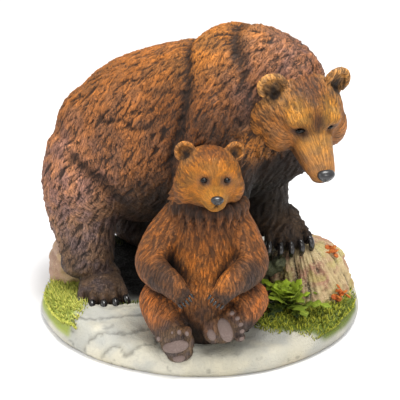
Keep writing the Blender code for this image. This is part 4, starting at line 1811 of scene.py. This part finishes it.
@dataclass(frozen=True)
class Patch:
    """An oval stretch of ground: its middle and its reach, in metres."""

    middle: tuple[float, float]
    reach: tuple[float, float]
    height: float
    blades: int
    young: Triple
    old: Triple

    def share(self, x: Array, y: Array) -> Array:
        """How much of the patch a spot is in: 1 within, falling to 0 at its edge."""
        far = np.hypot((x - self.middle[0]) / self.reach[0], (y - self.middle[1]) / self.reach[1])
        return 1 - ease(far, 0.7, 1.15)


@dataclass
class Ground:
    """The oval base: rock with ledges, grassy stretches, a stump, a bedded rock behind, moss and a leafy plant.

    The shade is a painted shadow on the ground under the bear, a dark oval: its middle and its reach.
    Blades root within the share blade_limit of the base's oval.
    """

    effects: Effects
    round_count: int = 340
    under_rows: int = 12
    rim_rows: int = 16
    top_rows: int = 100
    grass: tuple[Patch, ...] = (
        Patch((-0.090, -0.026), (0.0190, 0.041), 0.003, 2300, (250, 243, 128), (160, 172, 76)),
        Patch((0.064, -0.047), (0.036, 0.019), 0.002, 1250, (206, 204, 72), (96, 110, 34)),
        Patch((0.090, -0.024), (0.016, 0.026), 0.002, 700, (206, 204, 72), (96, 110, 34)),
        Patch((0.083, 0.038), (0.016, 0.026), 0.002, 420, (176, 176, 60), (84, 98, 34)),
        Patch((-0.015, 0.073), (0.050, 0.011), 0.002, 520, (206, 200, 70), (110, 124, 40)),
        # Grass by the far hind foot in the bear's shadow, its greens darkened as painted shade
        Patch((-0.058, 0.066), (0.014, 0.010), 0.002, 260, (84, 90, 38), (30, 34, 18)),
        Patch((-0.041, -0.033), (0.012, 0.005), 0.002, 90, (150, 160, 60), (80, 96, 36)),
    )
    ledge_back: float = -0.042
    ledge_front: float = -0.090
    ledge_sides: tuple[float, float] = (-0.078, -0.014)
    ledge_height: float = 0.0065
    ledge_count: int = 4
    shade: tuple[tuple[float, float], tuple[float, float]] = ((-0.018, 0.028), (0.066, 0.058))
    blade_limit: float = 0.975
    blade_half: float = 0.00042
    leaf_count: int = 32
    whorl_count: int = 11

    def height(self, x: Array, y: Array) -> Array:
        """The top's height over the plain base: grassy rises, ledges on the left front, and rough rock.

        Args:
            x: places across the base.
            y: places along it.

        Returns:
            The heights in metres.
        """
        spots = np.column_stack([x, y, 0 * x])
        rough = 0.0007 * grain(spots, 0.012, 5) + 0.00025 * grain(spots, 0.003, 6)
        rise = sum(patch.height * patch.share(x, y) for patch in self.grass)
        _, steps = self.ledges(x, y)
        return rise + rough + self.ledge_height / self.ledge_count * steps

    def ledges(self, x: Array, y: Array) -> tuple[Array, Array]:
        """The ledges' slope, counted in steps, and the steps themselves.

        A step is the slope's whole part and a steep ease of what is left over.
        """
        jag = grain(np.column_stack([x, y, 0 * x]), 0.011, 8)
        climb = (y + 0.004 * jag - self.ledge_front) / (self.ledge_back - self.ledge_front)
        climb = np.clip(climb, 0, 1) * (1 - ease(y, self.ledge_back + 0.004, self.ledge_back + 0.008))
        left, right = self.ledge_sides
        within = ease(x + 0.004 * jag, left - 0.008, left + 0.002) * (1 - ease(x + 0.006 * jag, right - 0.014, right))
        slope = climb * within * self.ledge_count
        return slope, np.floor(slope) + ease(slope - np.floor(slope), 0.0, 0.18)

    def surface(self) -> tuple[Surface, Array, Array]:
        """The base as rings: across the underside, up the rounded rim, and over the top to its middle.

        A ring's points are the oval's half sizes times its share, turned through a full circle.
        """
        share = np.array([*np.linspace(0.05, 0.97, self.under_rows), 0.975])
        low = np.column_stack([share, 0 * share])
        bend = np.radians(np.linspace(0, 90, self.rim_rows))
        rounding = RIM_ROUNDING / (BASE_WIDTH / 2)
        rim_low = BASE_THICKNESS * RIM_FOOT
        rim = np.column_stack([1 - rounding * (1 - np.cos(bend)), rim_low + (BASE_THICKNESS - rim_low) * np.sin(bend)])
        top = np.linspace(1 - rounding, 0.01, self.top_rows)[1:]
        over = np.column_stack([top, 0 * top + BASE_THICKNESS])
        rows = np.vstack([low, rim, over])
        turn = np.linspace(0, 2 * np.pi, self.round_count, endpoint=False)
        wobble = 1 + 0.008 * grain(np.column_stack([np.cos(turn), np.sin(turn), 0 * turn]), 0.35, 9)
        x = rows[:, :1] * BASE_WIDTH / 2 * np.cos(turn) * wobble
        y = rows[:, :1] * BASE_DEPTH / 2 * np.sin(turn) * wobble
        z = np.broadcast_to(rows[:, 1:], x.shape)
        lift = self.height(x.ravel(), y.ravel()).reshape(x.shape) * ease(z, BASE_THICKNESS * 0.45, BASE_THICKNESS)
        surface = closed(np.stack([x, y, z + lift], -1))
        return surface, self.paint(surface.points), self.hollow(surface.points)

    def paint(self, points: Array) -> Array:
        """Pale rock with grey clouds and warm patches, darker along the ledges' risers and towards the right, green
        under the grass, and a painted shadow under the bear.
        """
        x, y = points[:, 0], points[:, 1]
        cloud = ease(grain(points, 0.016, 12, 4), -0.5, 0.6)
        warm = ease(grain(points, 0.030, 14, 3), -0.2, 0.7)
        colour = blended(linear(GREY_ROCK), linear(PALE_ROCK), cloud)
        colour = blended(colour, linear(WARM_ROCK), 0.5 * warm)
        colour = colour * (1 - 0.32 * self.risers(points)[:, None]) * (1 - 0.18 * ease(x, -0.03, 0.04))[:, None]
        for patch in self.grass:
            share = ease(patch.share(x, y), 0.5, 0.95) * ease(points[:, 2], 0.006, 0.010)
            colour = blended(colour, linear(patch.old), share)
        # The painted shadow under the bear, soft at its edge
        (middle_x, middle_y), (reach_x, reach_y) = self.shade
        far = np.hypot((x - middle_x) / reach_x, (y - middle_y) / reach_y) + 0.1 * grain(points, 0.02, 15, 2)
        return blended(colour, linear(PAINTED_SHADOW), 1 - ease(far, 0.80, 1.1))

    def risers(self, points: Array) -> Array:
        """How near each point is to a ledge's riser, 0 to 1."""
        slope, _ = self.ledges(points[:, 0], points[:, 1])
        return np.exp(-(((slope - np.floor(slope) - 0.07) / 0.10) ** 2)) * np.clip(slope * 2, 0, 1)

    def hollow(self, points: Array) -> Array:
        """The wash in the rock's hollows, and a darkening along the ledges' risers."""
        edge = self.risers(points)
        return ease(grain(points, 0.005, 17, 3), -1.2, -0.2) * (1 - 0.85 * edge)

    def blades(self, patch: Patch, salt: int) -> tuple[Surface, Array]:
        """Blades of grass over a patch, shorter towards the base's edge, and pulled in to stay on the base.

        Each is three rings of three points: the middle line leaves the root by the lean and bends
        over with its height, and the half width falls from root to tip.

        Args:
            patch: where they grow.
            salt: tells one patch's chance from another's.

        Returns:
            The blades, and a colour for each point.
        """
        chance = np.random.default_rng(salt)
        turn, far = chance.uniform(0, 2 * np.pi, patch.blades), np.sqrt(chance.uniform(0, 1, patch.blades))
        x = patch.middle[0] + patch.reach[0] * far * np.cos(turn)
        y = patch.middle[1] + patch.reach[1] * far * np.sin(turn)
        pull = np.minimum(1, self.blade_limit / np.hypot(x / (BASE_WIDTH / 2), y / (BASE_DEPTH / 2)))
        x, y = x * pull, y * pull
        far = np.hypot(x / (BASE_WIDTH / 2), y / (BASE_DEPTH / 2))
        fall = 1 - np.clip((1 - far) * BASE_WIDTH / 2 / RIM_ROUNDING, 0, 1)
        rim = BASE_THICKNESS * (RIM_FOOT + (1 - RIM_FOOT) * np.sqrt(1 - fall**2))
        root = np.column_stack([x, y, rim + self.height(x, y) - 0.0012])
        length = chance.uniform(0.0030, 0.0054, patch.blades) * (1 - 0.5 * ease(far, 0.93, 0.98))
        yaw, lean = chance.uniform(0, 2 * np.pi, patch.blades), chance.uniform(0.1, 0.9, patch.blades)
        along = np.array([0.0, 0.55, 1.0])
        bend = lean[:, None] * (0.5 + 0.5 * along)
        out = length[:, None] * along * np.sin(bend)
        middle = root[:, None] + np.stack(
            [out * np.cos(yaw)[:, None], out * np.sin(yaw)[:, None], length[:, None] * along * np.cos(bend)], -1
        )
        corner = np.radians([0, 120, 240])
        half = self.blade_half * np.array([1.0, 0.8, 0.12])
        ring = np.stack([np.cos(corner), np.sin(corner), 0 * corner], -1)
        rings = middle[:, :, None] + half[None, :, None, None] * ring[None, None]
        fresh = chance.uniform(0, 1, patch.blades) ** 1.5
        shade = blended(linear(patch.old), linear(patch.young), fresh)
        per_row = np.repeat(np.array([0.45, 0.85, 1.15]), 3)
        per_point = np.concatenate([per_row, [0.45, 1.2]])
        colours = (shade[:, None] * per_point[None, :, None]).reshape(-1, 3)
        return closed(rings), np.clip(colours, 0, 1)

    def turf(self) -> tuple[Surface, Array, float]:
        """The blades of every patch as one mesh, each patch with its own chance."""
        blades = [self.blades(patch, 60 + index) for index, patch in enumerate(self.grass)]
        return Surface.joined([made for made, _ in blades]), np.vstack([colour for _, colour in blades]), 1.0

    def stump(self) -> tuple[Surface, Array, Array]:
        """The stump: rings whose reach swells with slanting bark, narrowing to a rounded top.

        The reach round the stem is its half width by height, times 1 plus waves of bark, where each
        wave's angle drifts with the height so that the ridges slant, and grain breaks them up.
        """
        share = np.concatenate([np.linspace(0, 0.9, 60), 0.9 + 0.1 * np.sin(np.radians(np.linspace(4, 90, 14)))])
        profile = np.interp(share, [0, 0.25, 0.5, 0.8, 0.9, 0.96, 1.0], [0.58, 0.56, 0.50, 0.42, 0.35, 0.24, 0.04])
        turn, spots = drum(share, 180, 1.2)
        lump = grain(spots, 0.9, 21, 2).reshape(len(share), -1)
        crack = grain(spots * np.array([1, 1, 0.35]), 0.16, 22, 2).reshape(len(share), -1)
        wave = np.cos(15 * (turn[None] + 0.5 * share[:, None]) + 1.6 * lump)
        fine = np.cos(46 * (turn[None] + 0.5 * share[:, None]) + 5 * lump)
        depth = (1 - 0.75 * ease(share, 0.85, 1.0))[:, None]
        knots = grain(spots * np.array([1, 1, 0.8]), 0.075, 23, 2).reshape(len(share), -1)
        relief = 0.5 + 0.16 * wave + 0.14 * fine + 0.26 * crack + 0.26 * knots
        reach = STUMP_WIDTH * profile[:, None] * (1 + 0.10 * lump) + 0.0040 * (relief - 0.5) * depth
        low, high = 0.009, BASE_THICKNESS + STUMP_HEIGHT
        x = STUMP_SPOT[0] - 0.006 * share[:, None] + reach * np.cos(turn)
        y = STUMP_SPOT[1] + 0.002 * share[:, None] + reach * np.sin(turn)
        z = low + (high - low) * share[:, None] + 0.0012 * lump * depth
        surface = closed(np.stack([x, y, np.broadcast_to(z, x.shape)], -1))
        flat = np.concatenate([relief.ravel(), [0.5, 0.5]])
        return surface, self.bark_paint(surface.points), np.clip(flat, 0, 1)

    @staticmethod
    def bark_paint(points: Array) -> Array:
        """Cream and rose bark with yellow-green in places, and dark moss on the side under the paw."""
        rose = ease(grain(points, 0.011, 24, 3), -0.4, 0.4)
        green = ease(grain(points, 0.008, 26, 3), 0.05, 0.6) * 0.55
        colour = blended(linear(CREAM_BARK), linear(ROSE_BARK), rose)
        colour = blended(colour, linear(LIME_BARK), green)
        side = points[:, 0] + 0.35 * (points[:, 1] + 0.02) - 0.8 * (points[:, 2] - 0.030)
        moss = 1 - ease(side + 0.003 * grain(points, 0.006, 27, 2), 0.044, 0.054)
        return blended(colour, linear(DARK_MOSS), 0.9 * moss)

    def back_rock(self) -> tuple[Surface, Array, Array]:
        """The bedded rock: a lumpy upright mass whose beds stand in and out with the height."""
        share = np.concatenate([np.linspace(0, 0.93, 44), 0.93 + 0.07 * np.sin(np.radians(np.linspace(5, 90, 10)))])
        turn, spots = drum(share, 110, 1.6)
        lump = grain(spots, 0.7, 31, 3).reshape(len(share), -1)
        beds = 5 * share[:, None] + 0.5 * lump
        bed = np.abs(2 * (beds - np.floor(beds)) - 1) ** 3
        profile = np.interp(share, [0, 0.3, 0.6, 0.85, 0.95, 1.0], [1.0, 0.98, 0.90, 0.72, 0.50, 0.05])[:, None]
        reach = profile * (1 + 0.16 * lump - 0.10 * bed)
        x = BACK_ROCK_SPOT[0] + 0.006 * share[:, None] + 0.0185 * reach * np.cos(turn)
        y = BACK_ROCK_SPOT[1] + 0.025 * reach * np.sin(turn)
        low = 0.008
        z = low + (BASE_THICKNESS + BACK_ROCK_HEIGHT - low) * share[:, None] + 0 * turn
        surface = closed(np.stack([x, y, z], -1))
        relief = np.concatenate([(1 - bed + 0.3 * lump).ravel(), [0.5, 0.5]])
        pink = ease(grain(surface.points, 0.012, 33, 3), -0.5, 0.5)
        return surface, blended(linear(TAN_BED), linear(PINK_BED), pink), np.clip(relief, 0, 1)

    def leaves(self) -> tuple[Surface, Array, float]:
        """The plant: lobed leaves in rings round its middle, bright at their tips and dark at the root.

        A leaf is a flat tube whose half width is sin(pi t)^0.7 times 1 plus lobes, cos(9 pi t), and
        whose middle line rises and then arches over.
        """
        chance = np.random.default_rng(41)
        parts, colours = [], []
        share = np.linspace(0, 1, 26)
        for index in range(self.leaf_count):
            whorl = index // self.whorl_count
            yaw = 360 * index / self.whorl_count + 20 * whorl + chance.uniform(-14, 14)
            length = chance.uniform(0.021, 0.028) * (1 - 0.10 * whorl)
            lean = np.radians((62, 40, 18)[whorl] + chance.uniform(-10, 10))
            width = 0.0044 * np.sin(np.pi * np.clip(0.04 + 0.94 * share, 0, 1)) ** 0.7
            width *= np.clip(share * 3 - 0.5, 0.22, 1) * (1 + 0.50 * np.cos(2 * np.pi * 4.5 * share))
            bend = lean * (0.55 + 0.75 * share)
            rows = np.column_stack(
                [length * share * np.sin(bend), 0 * share, length * share * np.cos(bend), width, 0 * share + 0.00045]
            )
            spot = (*(np.array(PLANT_SPOT) + chance.uniform(-0.006, 0.006, 2)), BASE_THICKNESS + 0.001)
            leaf = tube(WHOLE.at(spot, yaw), rows, count=8, between=1, dome=0.2)
            up = ease(leaf.points[:, 2], spot[2] + 0.2 * length, spot[2] + 0.95 * length * math.cos(lean))
            fresh = chance.uniform(0.5, 1.0)
            parts.append(leaf)
            colours.append(blended(linear(LEAF_ROOT), linear(LEAF_TIP) * fresh, up))
        return Surface.joined(parts), np.vstack(colours), 1.0

    def lichen(self) -> tuple[Surface, Triple, float]:
        """Two small clusters of lobed leaves on the bark, each lobe a flat ellipsoid."""
        chance = np.random.default_rng(43)
        parts = []
        for spot in ((0.0870, -0.0085, 0.0450), (0.0900, -0.0265, 0.0235)):
            for _ in range(12):
                centre = np.array(spot) + chance.normal(0, 0.0022, 3)
                size = chance.uniform(0.0014, 0.0024)
                turn = chance.uniform(-50, 50, 3)
                parts.append(ball(WHOLE, centre, (size, size, size * 0.35), *turn, count=12))
        return Surface.joined(parts), RUST_LICHEN, 1.0

    def moss(self) -> tuple[Surface, Triple, Array]:
        """A crumbly cushion of moss between the stump and the raised paw, from fused lumps with grain."""
        chance = np.random.default_rng(47)
        lumps = []
        for _ in range(34):
            centre = (chance.uniform(0.042, 0.066), chance.uniform(-0.016, 0.006), chance.uniform(0.016, 0.040))
            lumps.append(ball(WHOLE, centre, (0.0048, 0.0048, 0.0040), count=14))
        skin = fused(lumps, 0.0008, 2)
        rough = grain(skin.points, 0.0026, 49, 2)
        moved = skin.points + skin.normals * (0.0008 * rough)[:, None]
        return Surface(moved, skin.faces), DULL_MOSS, ease(rough, -0.6, 0.5)

    def build(self) -> None:
        """Builds every piece of the base."""
        rock = Plain("base rock paint", wash=0.35, speck=(150, 151, 146), speck_share=0.14, size=0.0012)
        green = Plain("grass paint", wash=0.0, speck=(90, 96, 30), speck_share=0.1, bump=0.2)
        bark = Plain("bark paint", wash=0.85, speck=(220, 204, 160), speck_share=0.5, size=0.0011)
        tan = Plain("bedded rock paint", wash=0.45, speck=(222, 200, 160), speck_share=0.4, size=0.0012)
        leaf = Plain("leaf paint", wash=0.0, speck=(214, 226, 90), speck_share=0.25, size=0.0010, bump=0.3)
        rust = Plain("lichen paint", wash=0.0, speck=(236, 170, 70), speck_share=0.6, size=0.0009)
        dull = Plain("moss paint", wash=0.6, speck=(124, 128, 96), speck_share=0.5, size=0.0010, roughness=0.7)
        for name, finish, (surface, tone, relief) in (
            ("base_rock", rock, self.surface()),
            ("grass", green, self.turf()),
            ("stump", bark, self.stump()),
            ("back_rock", tan, self.back_rock()),
            ("plant_leaves", leaf, self.leaves()),
            ("lichen", rust, self.lichen()),
            ("moss", dull, self.moss()),
        ):
            piece(name, surface, finish.material(self.effects), tone, relief)


CLAW = Enamel("claw enamel", (16, 14, 14), (44, 40, 38), 0.24, 0.3)
EYE = Enamel("eye enamel", (7, 5, 4), (14, 10, 8), 0.16, 0.0, 0.28)
NOSE = Enamel("nose enamel", (18, 17, 18), (46, 45, 46), 0.30, 0.4)
PAD = Plain("pad paint", wash=0.3, speck=(150, 132, 124), speck_share=0.35, size=0.0010, roughness=0.5)


class Light(Enum):
    """The studio's lights: place, size, power in watts and warmth."""

    OVERHEAD = ((0.20, -0.10, 1.30), 0.7, 17.0, (1.0, 0.99, 0.97))
    FRONT = ((0.45, -1.10, 0.75), 0.5, 4.0, (1.0, 0.98, 0.96))
    LEFT = ((-1.10, -0.50, 0.70), 0.5, 3.0, (0.97, 0.98, 1.0))


@dataclass
class Studio:
    """A plain pale floor, soft lights, and a camera at the photograph's angle."""

    target: Triple = (0.0, 0.0, 0.09)
    elevation: float = 24.0
    distance: float = 0.75
    lens: float = 104.04
    sensor: float = 36.0
    shift: float = -0.045
    floor_half: float = 3.0
    floor_gap: float = 0.0002
    surround: float = 0.62

    def floor(self) -> None:
        """A square floor just under the base."""
        h = self.floor_half
        corners = np.array([[-h, -h, 0], [h, -h, 0], [h, h, 0], [-h, h, 0]], float) - [0, 0, self.floor_gap]
        floor = bpy.data.objects.new("floor", mesh_of(Surface(corners, np.array([[0, 1, 2, 3]])), "floor"))
        material, _, shader = new_material("floor paper")
        shader.inputs["Base Color"].default_value = (0.97, 0.97, 0.98, 1)
        shader.inputs["Roughness"].default_value = 0.9
        floor.data.materials.append(material)
        bpy.context.scene.collection.objects.link(floor)

    def lights(self) -> None:
        """The soft lights and the pale surround."""
        for option in Light:
            spot, size, watts, tint = option.value
            data = bpy.data.lights.new(option.name.lower(), "AREA")
            data.shape = "DISK"
            data.size = size
            data.energy = watts
            data.color = tint
            lamp = bpy.data.objects.new(data.name, data)
            lamp.location = spot
            lamp.rotation_euler = (Vector(self.target) - Vector(spot)).to_track_quat("-Z", "Y").to_euler()
            bpy.context.scene.collection.objects.link(lamp)
        world = bpy.data.worlds.new("surround")
        world.use_nodes = True
        shade = world.node_tree.nodes["Background"]
        shade.inputs["Color"].default_value = (1, 1, 1, 1)
        shade.inputs["Strength"].default_value = self.surround
        bpy.context.scene.world = world
        bpy.context.scene.view_settings.view_transform = "Standard"

    def camera(self) -> None:
        """The camera, looking down at the target from the front."""
        angle = math.radians(self.elevation)
        back = Vector((0, -math.cos(angle), math.sin(angle)))
        data = bpy.data.cameras.new("camera")
        data.lens = self.lens
        data.sensor_width = self.sensor
        data.shift_y = self.shift
        camera = bpy.data.objects.new("camera", data)
        camera.location = Vector(self.target) + back * self.distance
        camera.rotation_euler = (-back).to_track_quat("-Z", "Y").to_euler()
        bpy.context.scene.collection.objects.link(camera)
        bpy.context.scene.camera = camera

    def build(self) -> None:
        """Sets up the studio."""
        self.floor()
        self.lights()
        self.camera()


def main() -> None:
    """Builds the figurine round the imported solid, then the studio."""
    logging.basicConfig(level=logging.INFO, format="%(name)s %(message)s")
    for obj in list(bpy.data.objects):
        bpy.data.objects.remove(obj, do_unlink=True)
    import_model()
    effects = Effects()
    for part in (Ground(effects), Mother(effects), Cub(effects), Studio()):
        part.build()


if __name__ == "__main__":
    main()
